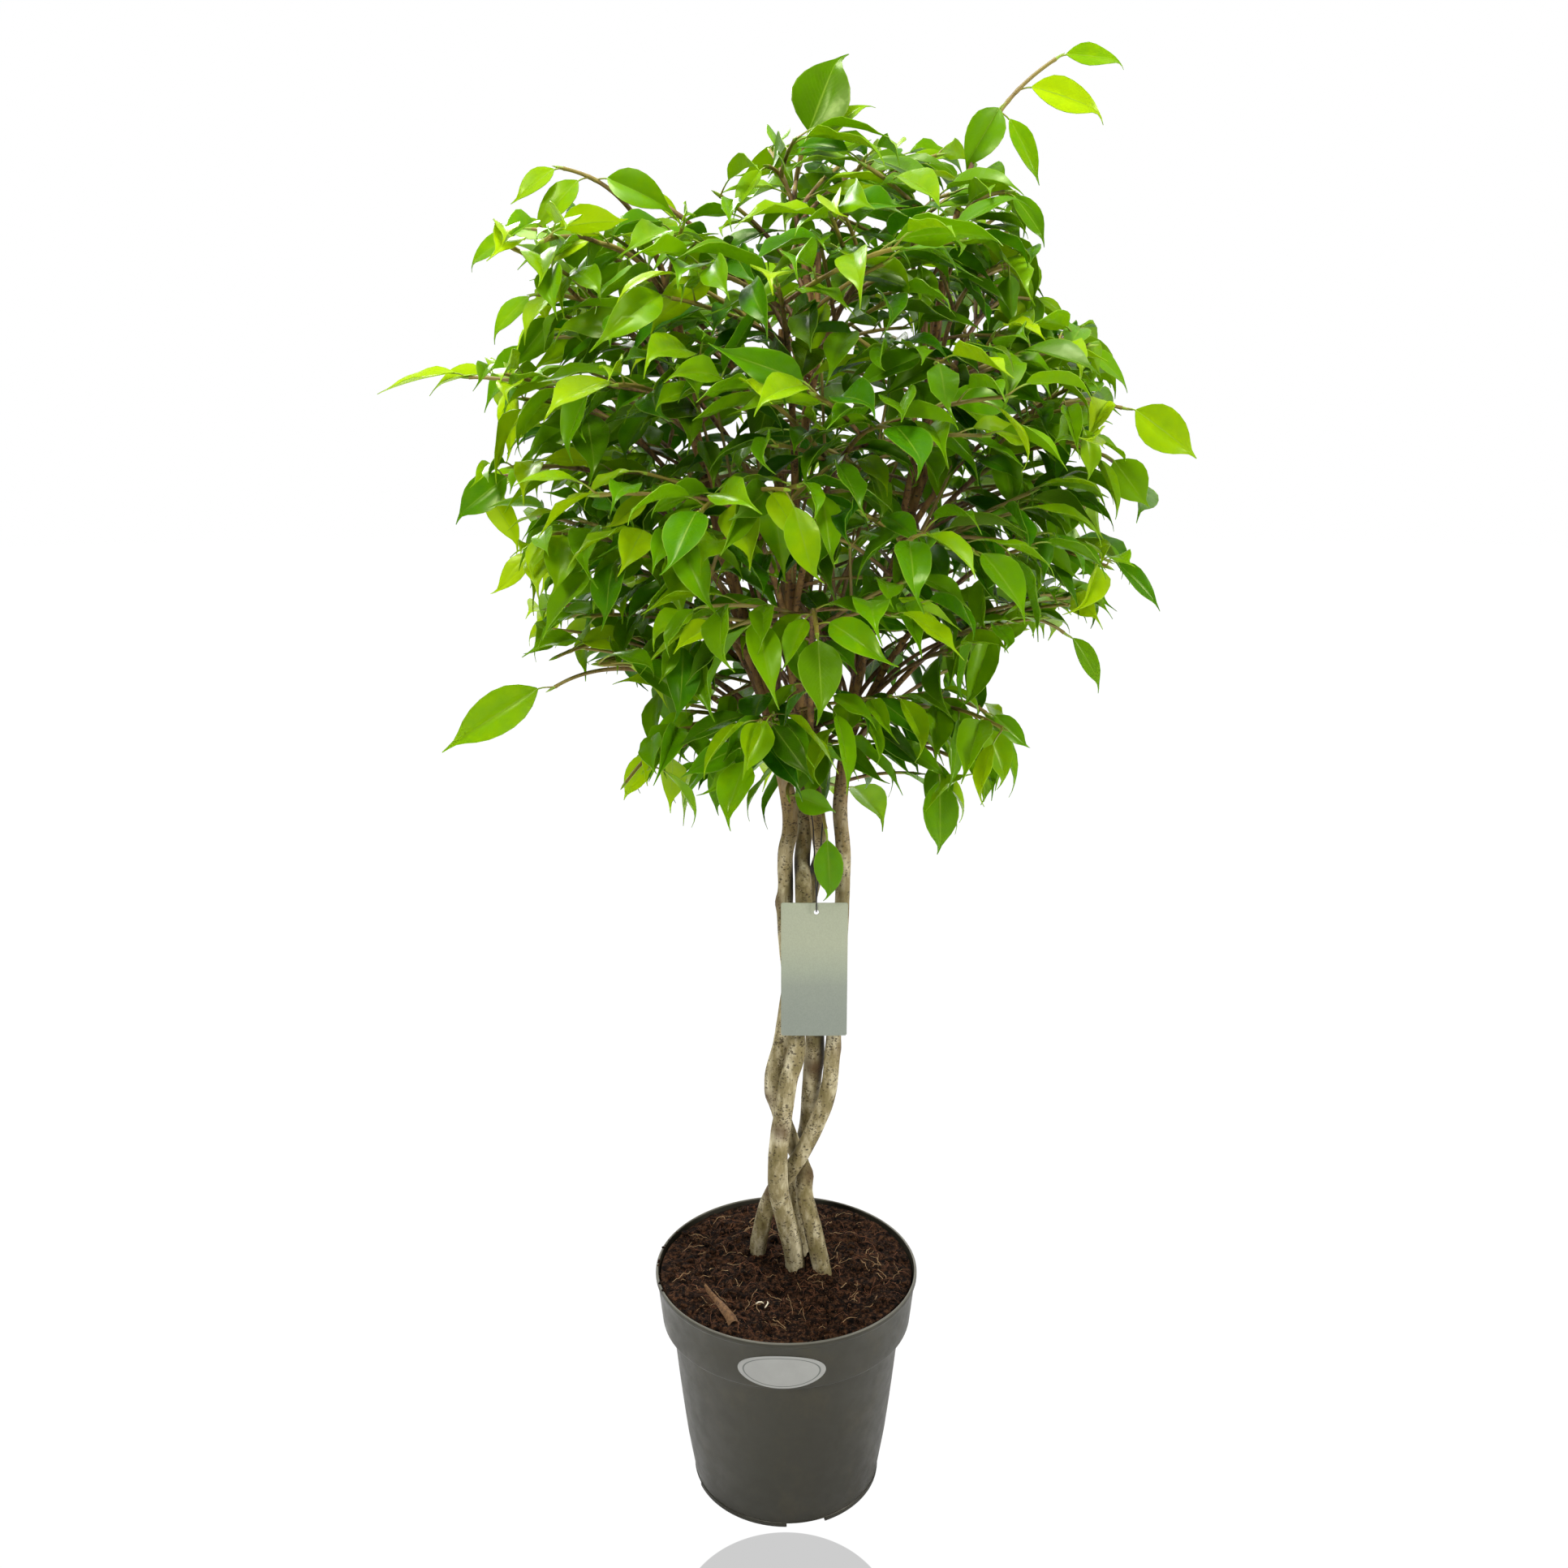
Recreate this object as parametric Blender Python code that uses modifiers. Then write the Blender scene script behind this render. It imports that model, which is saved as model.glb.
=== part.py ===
"""Weeping fig with a braided trunk, standing in its nursery pot.

Metres, +Z up. The middle of the pot's underside is at the origin and the front of the plant faces -Y.
Lengths in the tables are millimetres and end up in metres through MM.
"""

import math
import random

import bmesh
import bpy
import numpy as np
from mathutils import Matrix, Vector
from mathutils.bvhtree import BVHTree

MM = 0.001

# Driving dimensions, in metres.
GAP = 0.0003
POT_FACETS = 32
FOOT_NOTCHES = 4
FOOT_NOTCH_HEIGHT = 0.0040
FOOT_NOTCH_WIDTH = 0.031
DRAIN_HOLES = 6
DRAIN_RADIUS = 0.0050
DRAIN_CIRCLE = 0.045
SOIL_FACETS = 28
SOIL_EDGE_Z = 0.1815
SOIL_HEAP = 0.0045
TAG_X = (-0.0040, 0.0455)
TAG_Z = (0.3935, 0.4985)
TAG_Y = -0.0260
TAG_THICKNESS = 0.0008
TAG_HOLE = (0.0221, 0.4913, 0.0019)
CORD_DIAMETER = 0.0010
LABEL_CENTRE = (-0.0037, 0.1584)
LABEL_HALF = (0.0335, 0.0147)
LABEL_THICKNESS = 0.0005
LEAF_HALF_THICKNESS = 0.00035
PETIOLE_HALF_WIDTH = 0.0008
LEAF_CLEARANCE = 0.0006
LEAF_BUDGET = 245
CROWN_CENTRE = (0.008, 0.0, 0.790)
SEED = 4217

# Centre line of each braided strand and of its leader in the crown: x, y, z, radius in mm.
STRANDS = {
    "a": (
        (43.0, -19.2, 120.0, 7.0), (28.1, -10.0, 188.0, 7.2), (21.5, -6.0, 218.4, 7.2),
        (14.9, 0.0, 243.7, 6.8), (13.8, 7.0, 257.0, 6.6), (10.4, 10.6, 271.5, 6.6),
        (2.6, 10.4, 291.0, 6.8), (-4.6, 6.0, 314.0, 6.8), (-10.3, 3.0, 344.0, 6.8),
        (-3.1, 6.0, 377.0, 6.6), (4.0, 13.0, 425.0, 6.3), (13.5, 17.0, 470.0, 6.1),
        (20.5, 11.5, 503.0, 6.0), (26.2, -3.0, 528.0, 6.0), (24.2, -7.5, 547.0, 6.1),
        (21.0, -10.0, 572.0, 6.0), (13.0, -19.0, 620.0, 5.2), (3.0, -33.0, 700.0, 4.2),
        (6.0, -44.0, 790.0, 3.2), (18.0, -46.0, 880.0, 2.4), (21.0, -40.0, 950.0, 1.8),
    ),
    "b": (
        (9.0, -4.0, 120.0, 7.6), (7.0, -6.0, 188.0, 7.8), (1.5, -12.0, 222.0, 8.0),
        (-5.6, -19.0, 258.5, 8.0), (-6.6, -22.0, 284.0, 7.8), (-6.0, -22.0, 299.0, 7.5),
        (-2.4, -18.0, 325.0, 7.2), (1.8, -13.0, 351.0, 7.0), (7.9, -10.0, 377.0, 6.8),
        (3.0, -10.0, 430.0, 6.2), (-1.0, -7.0, 475.0, 5.8), (-0.5, -6.0, 500.0, 5.7),
        (-0.8, -3.0, 528.5, 5.9), (2.6, -2.0, 548.0, 5.9), (1.0, -3.0, 575.0, 5.9),
        (-8.0, -8.0, 615.0, 5.2), (-24.0, -14.0, 685.0, 4.3), (-47.0, -19.0, 765.0, 3.3),
        (-64.0, -22.0, 850.0, 2.4), (-74.0, -24.0, 920.0, 1.8),
    ),
    "c": (
        (14.0, 18.0, 120.0, 6.4), (11.6, 14.0, 188.0, 6.6), (10.3, 17.0, 213.0, 6.6),
        (7.2, 24.0, 243.0, 6.6), (10.4, 28.0, 260.5, 6.8), (15.3, 24.0, 284.0, 7.0),
        (18.8, 16.0, 308.0, 7.4), (20.3, 8.0, 340.7, 7.6), (22.4, 4.0, 377.4, 7.4),
        (19.5, -4.0, 430.0, 6.6), (14.5, -12.0, 470.0, 6.2), (12.9, -14.0, 495.6, 6.2),
        (12.4, -8.5, 510.0, 6.0), (12.0, 4.0, 524.0, 5.9), (13.6, 11.0, 543.0, 5.9),
        (12.5, 17.0, 575.0, 5.8), (8.0, 31.0, 640.0, 4.8), (0.0, 48.0, 730.0, 3.9),
        (-7.0, 62.0, 820.0, 3.0), (-4.0, 72.0, 910.0, 1.9),
    ),
    "d": (
        (-30.0, 26.0, 120.0, 6.8), (-23.2, 16.2, 188.7, 6.8), (-21.5, 14.0, 200.0, 6.8),
        (-15.8, 8.0, 230.0, 6.7), (-8.9, 2.0, 247.5, 6.6), (4.0, -4.2, 270.6, 6.6),
        (13.0, -5.2, 286.7, 6.6), (24.3, -5.0, 311.8, 6.6), (32.9, -5.0, 339.7, 6.4),
        (36.2, -4.0, 381.0, 5.8), (39.0, -2.0, 430.0, 5.7), (41.5, 0.0, 470.0, 5.6),
        (42.6, 0.0, 505.0, 5.6), (42.9, 0.0, 528.0, 5.6), (40.2, 0.0, 556.6, 5.5),
        (40.5, 0.5, 575.0, 5.5), (46.0, 2.0, 620.0, 5.0), (58.0, 6.0, 690.0, 4.2),
        (87.0, 10.0, 770.0, 3.3), (101.0, 14.0, 850.0, 2.4), (102.0, 15.0, 920.0, 1.8),
    ),
}

# Shoots that draw the crown's outline: strand, end of the twig, tip of its last leaf in mm, side twigs, how far
# that leaf faces the front, and its half width as a share of its length.
OUTLINE_SHOOTS = (
    ("b", (-216, -20, 871), (-279, -25, 863), 2, 0.30, 0.19),
    ("b", (-190, 4, 806), (-233, -8, 774), 2, 0.85, 0.27),
    ("b", (-163, -36, 661), (-239, -52, 615), 1, 0.80, 0.20),
    ("b", (-92, -30, 616), (-117, -36, 578), 2, 0.60, 0.22),
    ("c", (-159, 32, 703), (-199, 38, 684), 2, 0.50, 0.22),
    ("b", (-165, -42, 756), (-200, -50, 726), 3, 0.50, 0.22),
    ("c", (-177, 30, 899), (-221, 36, 851), 3, 0.50, 0.22),
    ("b", (-147, -20, 1003), (-179, -30, 980), 0, 0.60, 0.24),
    ("c", (-180, 22, 969), (-226, 26, 948), 1, 0.50, 0.22),
    ("b", (-160, -60, 920), (-190, -72, 893), 2, 0.50, 0.22),
    ("a", (12, -10, 1019), (36, -12, 1077), 0, 1.00, 0.36),
    ("d", (181, 20, 1079), (232, 24, 1078), 0, 0.75, 0.19),
    ("d", (141, -40, 985), (168, -48, 953), 1, 0.60, 0.22),
    ("d", (173, 42, 928), (208, 52, 910), 3, 0.50, 0.22),
    ("d", (200, -12, 890), (236, -14, 864), 3, 0.50, 0.22),
    ("d", (229, -20, 851), (279, -31, 815), 2, 0.95, 0.27),
    ("d", (217, -30, 819), (244, -40, 784), 2, 0.95, 0.34),
    ("d", (222, -22, 749), (264, -26, 714), 3, 0.50, 0.17),
    ("d", (205, 22, 692), (238, 26, 648), 2, 0.50, 0.18),
    ("d", (143, -22, 640), (174, -26, 612), 1, 0.70, 0.22),
    ("d", (107, -50, 606), (109, -58, 544), 0, 0.95, 0.24),
    ("a", (-36, -62, 625), (-50, -70, 578), 3, 0.60, 0.24),
    ("a", (28, -45, 560), (32, -47, 505), -1, 0.85, 0.23),
    ("c", (-102, 42, 1000), (-72, 50, 978), 0, 0.50, 0.22),
    ("a", (-12, -42, 1000), (-34, -54, 970), 2, 0.50, 0.22),
    ("c", (84, 60, 1020), (120, 70, 1030), 1, 0.50, 0.20),
    ("b", (-119, -70, 950), (-156, -84, 935), 1, 0.50, 0.22),
    ("a", (1, -51, 586), (34, -58, 574), -1, 0.95, 0.31),
)
# Single leaves that stand out: shoot, place along its twig, tip in mm, then as above.
NAMED_LEAVES = (
    (0, 0.90, (-247, -22, 849), 0.80, 0.26),
    (7, 0.80, (-167, -30, 960), 0.70, 0.22),
    (7, 0.74, (-74, -30, 974), 0.75, 0.25),
    (8, 0.84, (-200, 16, 973), 0.70, 0.22),
    (10, 0.90, (56, -10, 1049), 0.60, 0.15),
    (11, 0.74, (219, 18, 1044), 0.75, 0.21),
    (11, 0.66, (122, 10, 1006), 0.90, 0.29),
    (11, 0.58, (173, 14, 1000), 0.60, 0.18),
    (19, 0.84, (160, -32, 578), 0.85, 0.22),
    (20, 0.90, (129, -60, 584), 0.95, 0.28),
)
# The crown's outline as it shows from EYE on the plane y = 0: x, z in mm.
EYE = (-0.0018, -0.996, 0.818)
CROWN_OUTLINE = (
    (-5, 1028), (60, 1031), (87, 1016), (147, 1013), (167, 985), (172, 944), (190, 912), (219, 891),
    (232, 864), (244, 848), (213, 834), (252, 812), (256, 781), (229, 761), (250, 741), (238, 703),
    (189, 689), (142, 674), (131, 647), (168, 623), (166, 586), (140, 561), (110, 533), (73, 561),
    (46, 577), (43, 555), (-5, 555), (-42, 552), (-96, 561), (-120, 583), (-89, 629), (-91, 653),
    (-147, 656), (-191, 671), (-187, 706), (-191, 741), (-194, 770), (-226, 798), (-199, 820),
    (-192, 848), (-214, 869), (-196, 894), (-155, 925), (-198, 954), (-192, 967), (-126, 980),
    (-65, 985), (-27, 1002),
)


# Small helpers.
def unit(v):
    """The vector at length one."""
    v = np.asarray(v, float)
    return v / max(np.linalg.norm(v), 1e-12)


def turn(v, axis, angle):
    """v turned about a unit axis by an angle in radians."""
    c = math.cos(angle)
    s = math.sin(angle)
    return v * c + np.cross(axis, v) * s + axis * np.dot(axis, v) * (1 - c)


def smooth_path(rows, step):
    """Catmull-Rom line through rows of x, y, z, radius, with points about step apart."""
    rows = np.asarray(rows, float)
    ends = np.vstack([2 * rows[0] - rows[1], rows, 2 * rows[-1] - rows[-2]])
    out = []
    for i in range(len(rows) - 1):
        p0, p1, p2, p3 = ends[i : i + 4]
        count = max(1, int(round(np.linalg.norm(p2[:3] - p1[:3]) / step)))
        for k in range(count):
            t = k / count
            out.append(
                0.5
                * (
                    2 * p1
                    + (p2 - p0) * t
                    + (2 * p0 - 5 * p1 + 4 * p2 - p3) * t**2
                    + (3 * p1 - p0 - 3 * p2 + p3) * t**3
                )
            )
    out.append(rows[-1])
    return np.array(out)


def cubic(p0, p1, p2, p3, t):
    """Points of a cubic Bezier curve at the parameters t."""
    t = np.asarray(t, float)[:, None]
    s = 1 - t
    return s**3 * p0 + 3 * s**2 * t * p1 + 3 * s * t**2 * p2 + t**3 * p3


def tangents(points):
    """Unit direction of a polyline at each of its points."""
    d = np.gradient(points, axis=0)
    return d / np.linalg.norm(d, axis=1)[:, None]


# Growth of the crown.
def within_outline(point):
    """Whether a point shows inside the crown's outline from the front."""
    scale = -EYE[1] / (point[1] - EYE[1])
    x = (EYE[0] + (point[0] - EYE[0]) * scale) / MM
    z = (EYE[2] + (point[2] - EYE[2]) * scale) / MM
    inside = False
    for (x1, z1), (x2, z2) in zip(CROWN_OUTLINE, CROWN_OUTLINE[1:] + CROWN_OUTLINE[:1]):
        if (z1 > z) != (z2 > z) and x < (x2 - x1) * (z - z1) / (z2 - z1) + x1:
            inside = not inside
    return inside


def crown_tips():
    """Strand, twig end, last leaf's tip, side twigs, lean and width of every shoot, the outline ones first."""
    tips = [(s, np.array(a) * MM, np.array(b) * MM, n, lean, w) for s, a, b, n, lean, w in OUTLINE_SHOOTS]
    rng = random.Random(SEED)
    centre = np.array(CROWN_CENTRE)
    count = 32
    for i in range(count):
        z = 0.90 - 1.42 * (i + 0.5) / count
        azimuth = i * 2.399963 + 0.4
        ring = math.sqrt(1 - z * z)
        way = np.array([math.cos(azimuth) * ring, math.sin(azimuth) * ring, z])
        reach = 0.93 + 0.14 * rng.random()
        if abs(way[1]) < 0.42:
            continue
        tip = centre + way * np.array([0.195, 0.190, 0.205]) * reach
        if tip[2] < 0.70 and tip[0] > 0.03 or tip[2] < 0.68 and tip[0] < -0.10:
            continue
        if abs(way[0]) < 0.5:
            strand = "a" if way[1] < 0 else "c"
        else:
            strand = "b" if way[0] < 0 else "d"
        fall = unit(way + np.array([0, 0, -0.55])) * 0.060
        for _ in range(8):
            if within_outline(tip) and within_outline(tip + fall):
                break
            tip = centre + (tip - centre) * 0.93
        tips.append((strand, tip, tip + fall, 3, 0.3, 0.25))
    return tips


def shoot_curve(strand, tip, last, leader, rng):
    """Control points of one shoot, from its leader in the crown out to the twig's end."""
    at = leader[np.argmin(abs(leader[:, 2] - 0.72))]
    reach = np.linalg.norm(tip[:2] - at[:2])
    z = min(max(tip[2] - 0.62 * reach - 0.045, 0.585 + 0.03 * rng.random()), 0.885)
    z = min(z, max(tip[2] - 0.03, 0.585))
    start = leader[np.argmin(abs(leader[:, 2] - z))][:3]
    out = unit([tip[0] - CROWN_CENTRE[0], tip[1] - CROWN_CENTRE[1], 0.0])
    level = (tip[2] - 0.78) / 0.25
    lift = math.radians(-18 + 58 * level if level > 0 else -18 + 26 * level)
    end = out * math.cos(lift) + np.array([0, 0, math.sin(lift)])
    end = unit(end + 0.6 * unit(last - tip))
    dist = np.linalg.norm(tip - start)
    up = np.array([0.0, 0.0, 1.0])
    p1 = start + up * 0.30 * dist + unit(tip - start) * 0.16 * dist
    p2 = tip - end * 0.36 * dist
    return start, p1, p2, tip


def side_twig(line, dirs, j, sign, size, slope):
    """A drooping side twig from a line's point j that ends inside the crown's outline, or None."""
    t = np.linspace(0, 1, 16)[:, None]
    droop = np.array([0, 0, -1.0])
    for hand, share in ((sign, 1.0), (sign, 0.7), (-sign, 1.0), (-sign, 0.7), (sign, 0.45)):
        side = unit(np.cross(dirs[j], [0, 0, 1.0])) * hand
        way = unit(dirs[j] * 0.70 + side * 0.75 + np.array([0, 0, slope]))
        points = line[j] + way * size * share * t + droop * size * share * 0.16 * t**2
        if within_outline(points[-1]):
            return {"points": points, "radii": np.linspace(0.0014, 0.0012, 16), "order": 1}
    return None


def grow_shoot(index, strand, tip, last, sides, lean, width, leaders, placed):
    """One shoot: its woody limb, its twig, the side twigs and every leaf, as plain numbers."""
    rng = random.Random(SEED + 31 * index)
    leader = leaders[strand]
    p0, p1, p2, p3 = shoot_curve(strand, tip, last, leader, rng)
    sample = np.linspace(0, 1, 60)
    best = None
    for attempt in range(40):
        scale = 0.0025 * attempt
        j1 = np.array([rng.uniform(-1, 1) for _ in range(3)]) * scale
        j2 = np.array([rng.uniform(-1, 1) for _ in range(3)]) * scale
        line = cubic(p0, p1 + j1, p2 + j2, p3, sample)
        room = 1.0
        for other, points, keep in placed:
            mine = line[14:] if other == strand else line
            room = min(room, np.min(np.linalg.norm(mine[:, None] - points[None, keep:], axis=2)))
        if best is None or room > best[0]:
            best = (room, j1, j2)
        if room > 0.0065:
            break
    room, j1, j2 = best
    split = 0.40
    limb_t = np.linspace(0, split, 4)
    limb = cubic(p0, p1 + j1, p2 + j2, p3, limb_t)
    base_r = 0.0030 if strand in "bd" else 0.0027
    limb_r = np.linspace(base_r, 0.0021, 4)
    fine_t = np.linspace(split, 1, 40)
    fine = cubic(p0, p1 + j1, p2 + j2, p3, fine_t)
    along = np.concatenate([[0], np.cumsum(np.linalg.norm(np.diff(fine, axis=0), axis=1))])
    forward = unit(fine[1] - fine[0])
    fine[0] = fine[0] + forward * GAP
    placed.append((strand, cubic(p0, p1 + j1, p2 + j2, p3, sample), 14))
    length = along[-1]
    twig_r = np.interp(along, [0, length], [0.0020, 0.0013])
    twigs = [{"points": fine, "radii": twig_r, "order": 0}]
    dirs = tangents(fine)
    for k in range(max(0, sides)):
        s = length * (0.20 + 0.60 * k / sides + 0.06 * rng.random())
        j = int(np.argmin(abs(along - s)))
        size = (0.100, 0.085, 0.070)[k] * (0.85 + 0.3 * rng.random())
        twig = side_twig(fine, dirs, j, 1 if (k + index) % 2 else -1, size, 0.10 + 0.25 * rng.uniform(-1, 1))
        if twig:
            twigs.append(twig)
    leaves = []
    for number, twig in enumerate(twigs):
        points = twig["points"]
        run = np.concatenate([[0], np.cumsum(np.linalg.norm(np.diff(points, axis=0), axis=1))])
        dirs = tangents(points)
        s = 0.016 + 0.01 * rng.random()
        sign = 1 if rng.random() < 0.5 else -1
        while s < run[-1] - 0.006 and sides >= 0:
            j = int(np.argmin(abs(run - s)))
            leaf = grow_leaf(points[j], dirs[j], sign, number, False, s / run[-1], index, rng)
            if turn_inward(leaf):
                leaves.append(leaf)
            sign = -sign
            s += (0.0150 if sides > 0 else 0.034) * (0.8 + 0.4 * rng.random())
        leaf = grow_leaf(points[-1], dirs[-1], sign, number, True, 1.0, index, rng)
        if number == 0:
            aim_leaf(leaf, last, lean, width)
        if number == 0 or turn_inward(leaf):
            leaves.append(leaf)
    for owner, share, end, its_lean, its_width in NAMED_LEAVES:
        if owner == index:
            j = int(np.argmin(abs(along / length - share)))
            leaf = grow_leaf(fine[j], tangents(fine)[j], 1, 0, False, 9.0, index, rng)
            aim_leaf(leaf, np.array(end) * MM, its_lean, its_width)
            leaves.append(leaf)
    return {
        "strand": strand,
        "limb": (limb, limb_r),
        "way": forward,
        "twigs": twigs,
        "leaves": leaves,
        "room": room,
    }


def level_normal(way, roll):
    """Upward normal of a blade that points along way, rolled about it."""
    up = np.array([0.0, 0.0, 1.0])
    flat = up - way * np.dot(up, way)
    if np.linalg.norm(flat) < 0.12:
        out = np.array([0.0, -1.0, 0.2])
        flat = out - way * np.dot(out, way)
    return turn(unit(flat), way, roll)


def grow_leaf(root, tangent, sign, twig, terminal, place, index, rng):
    """Frame and sizes of one leaf that leaves its twig at root."""
    flat = np.array([tangent[0], tangent[1], 0.0])
    if np.linalg.norm(flat) < 0.35:
        spread = np.array([root[0] - CROWN_CENTRE[0], root[1] - CROWN_CENTRE[1], 0.0])
        flat = unit(flat) * 0.5 + unit(spread + 1e-6) * 0.5
    flat = unit(flat)
    yaw = math.radians(rng.uniform(38, 72)) * sign
    if terminal:
        yaw = math.radians(rng.uniform(-15, 15))
    level = (root[2] - 0.58) / 0.45
    pitch = math.radians(-44 + 42 * max(0.0, min(1.0, level)) + rng.gauss(0, 14))
    pitch = max(pitch, math.radians(-78))
    flat = turn(flat, np.array([0, 0, 1.0]), yaw)
    way = flat * math.cos(pitch) + np.array([0, 0, math.sin(pitch)])
    size = 0.050 + rng.uniform(-0.009, 0.009) - (0.007 if terminal and twig else 0.0)
    roll = math.radians(sign * 8 + rng.gauss(0, 17))
    return {
        "root": root,
        "way": way,
        "normal": level_normal(way, roll),
        "roll": roll,
        "petiole": rng.uniform(0.011, 0.016),
        "length": size,
        "width": size * rng.uniform(0.235, 0.285),
        "bend": rng.uniform(0.35, 0.85),
        "fold": math.radians(rng.uniform(12, 30)),
        "twig": twig,
        "terminal": terminal,
        "place": place,
    }


def aim_leaf(leaf, tip, lean, width):
    """Point a leaf at its tip's place, with its face between upward and frontal."""
    aim = tip - leaf["root"]
    reach = float(np.linalg.norm(aim))
    leaf["petiole"] = min(0.15 * reach, 0.012)
    leaf["length"] = 1.05 * reach - leaf["petiole"]
    leaf["width"] = width * leaf["length"]
    leaf["way"] = unit(aim)
    leaf["bend"] = 0.30
    facing = np.array([0.0, -lean, 1.0 - lean])
    leaf["normal"] = unit(facing - leaf["way"] * np.dot(facing, leaf["way"]))


def turn_inward(leaf):
    """Turn a leaf until it shows inside the crown's outline; False if no turn helps."""
    way, normal = leaf["way"], leaf["normal"]
    for degrees in (0, 50, -50, 100, -100, 150):
        leaf["way"] = turn(way, np.array([0, 0, 1.0]), math.radians(degrees))
        leaf["normal"] = turn(normal, np.array([0, 0, 1.0]), math.radians(degrees))
        line = leaf_stations(leaf)[3]
        if within_outline(line[10][0]) and within_outline(line[-1][0]):
            return True
    return False


def leaf_stations(leaf):
    """Root, base, widest line and tip of a leaf's midrib, each with its own normal."""
    way = leaf["way"]
    normal = leaf["normal"]
    side = np.cross(way, normal)
    lift = unit(way + np.array([0, 0, 0.45]))
    root = leaf["root"]
    base = root + lift * leaf["petiole"]
    out = []
    steps = 20
    at = base.copy()
    for k in range(steps + 1):
        angle = leaf["bend"] * k / steps
        here = way * math.cos(angle) - normal * math.sin(angle)
        face = normal * math.cos(angle) + way * math.sin(angle)
        out.append((at.copy(), face))
        at = at + here * leaf["length"] / steps
    return root, base, side, out


def grow_crown():
    """Every shoot of the plant, bent clear of the ones before it."""
    leaders = {k: smooth_path(np.array(v) * MM, 0.006) for k, v in STRANDS.items()}
    leaders = {k: v[v[:, 2] > 0.56] for k, v in leaders.items()}
    placed = [(k, v[:, :3], 0) for k, v in leaders.items()]
    shoots = []
    for index, (strand, tip, last, sides, lean, width) in enumerate(crown_tips()):
        shoots.append(grow_shoot(index, strand, tip, last, sides, lean, width, leaders, placed))
    return shoots


# Meshes.
def make_material(name, rgb, roughness):
    """A plain Principled material."""
    mat = bpy.data.materials.new(name)
    mat.use_nodes = True
    bsdf = mat.node_tree.nodes["Principled BSDF"]
    bsdf.inputs["Base Color"].default_value = (*rgb, 1)
    bsdf.inputs["Roughness"].default_value = roughness
    mat.diffuse_color = (*rgb, 1)
    return mat


def new_object(name, verts, faces, where, mat=None, smooth=False):
    """Mesh object with outward normals in a collection."""
    mesh = bpy.data.meshes.new(name)
    mesh.from_pydata([tuple(v) for v in verts], [], faces)
    bm = bmesh.new()
    bm.from_mesh(mesh)
    bmesh.ops.recalc_face_normals(bm, faces=bm.faces)
    bm.to_mesh(mesh)
    bm.free()
    obj = bpy.data.objects.new(name, mesh)
    where.objects.link(obj)
    if mat:
        mesh.materials.append(mat)
    mesh.polygons.foreach_set("use_smooth", [smooth] * len(mesh.polygons))
    return obj


def curve_tube(name, points, radii, resolution, where, mat=None):
    """Closed mesh of a POLY curve with a round bevel, filled caps and a radius at each point."""
    curve = bpy.data.curves.new(name, "CURVE")
    curve.dimensions = "3D"
    curve.bevel_depth = MM
    curve.use_fill_caps = True
    if resolution < 0:
        curve.bevel_mode = "OBJECT"
        curve.bevel_object = bpy.data.objects["twig_section"]
    else:
        curve.bevel_resolution = resolution
    spline = curve.splines.new("POLY")
    spline.points.add(len(points) - 1)
    for spot, at, radius in zip(spline.points, points, radii):
        spot.co = (*at, 1)
        spot.radius = radius / MM
    guide = bpy.data.objects.new(name + "_curve", curve)
    where.objects.link(guide)
    bpy.context.view_layer.update()
    depsgraph = bpy.context.evaluated_depsgraph_get()
    mesh = bpy.data.meshes.new_from_object(guide.evaluated_get(depsgraph))
    mesh.name = name
    bm = bmesh.new()
    bm.from_mesh(mesh)
    bmesh.ops.remove_doubles(bm, verts=bm.verts, dist=0.00001)
    bmesh.ops.recalc_face_normals(bm, faces=bm.faces)
    bm.to_mesh(mesh)
    bm.free()
    bpy.data.objects.remove(guide)
    obj = bpy.data.objects.new(name, mesh)
    where.objects.link(obj)
    if mat:
        mesh.materials.clear()
        mesh.materials.append(mat)
    mesh.shade_smooth()
    return obj


def twig_section():
    """Three-sided outline, 1 mm in radius, that the thin twigs are swept from."""
    curve = bpy.data.curves.new("twig_section", "CURVE")
    spline = curve.splines.new("POLY")
    spline.points.add(2)
    for k, spot in enumerate(spline.points):
        a = 2 * math.pi * k / 3
        spot.co = (MM * math.cos(a), MM * math.sin(a), 0, 1)
    spline.use_cyclic_u = True
    guide = as_helper(bpy.data.objects.new("twig_section", curve))
    bpy.context.scene.collection.objects.link(guide)
    return guide


def shell(points, radii, sides):
    """Vertices and faces of a plain sweep, used only to test how much room a twig has."""
    points = np.asarray(points, float)
    dirs = tangents(points)
    ref = np.array([0, -1.0, 0]) if abs(dirs[0][1]) < 0.8 else np.array([1.0, 0, 0])
    verts = []
    faces = []
    for i, (p, d, r) in enumerate(zip(points, dirs, radii)):
        ref = unit(ref - d * np.dot(ref, d))
        other = np.cross(d, ref)
        for k in range(sides):
            a = 2 * math.pi * k / sides
            verts.append(p + (ref * math.cos(a) + other * math.sin(a)) * r)
        if i:
            low = (i - 1) * sides
            for k in range(sides):
                n = (k + 1) % sides
                faces.append((low + k, low + n, low + sides + n, low + sides + k))
    faces.append(tuple(reversed(range(sides))))
    top = (len(points) - 1) * sides
    faces.append(tuple(range(top, top + sides)))
    return verts, faces


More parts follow.
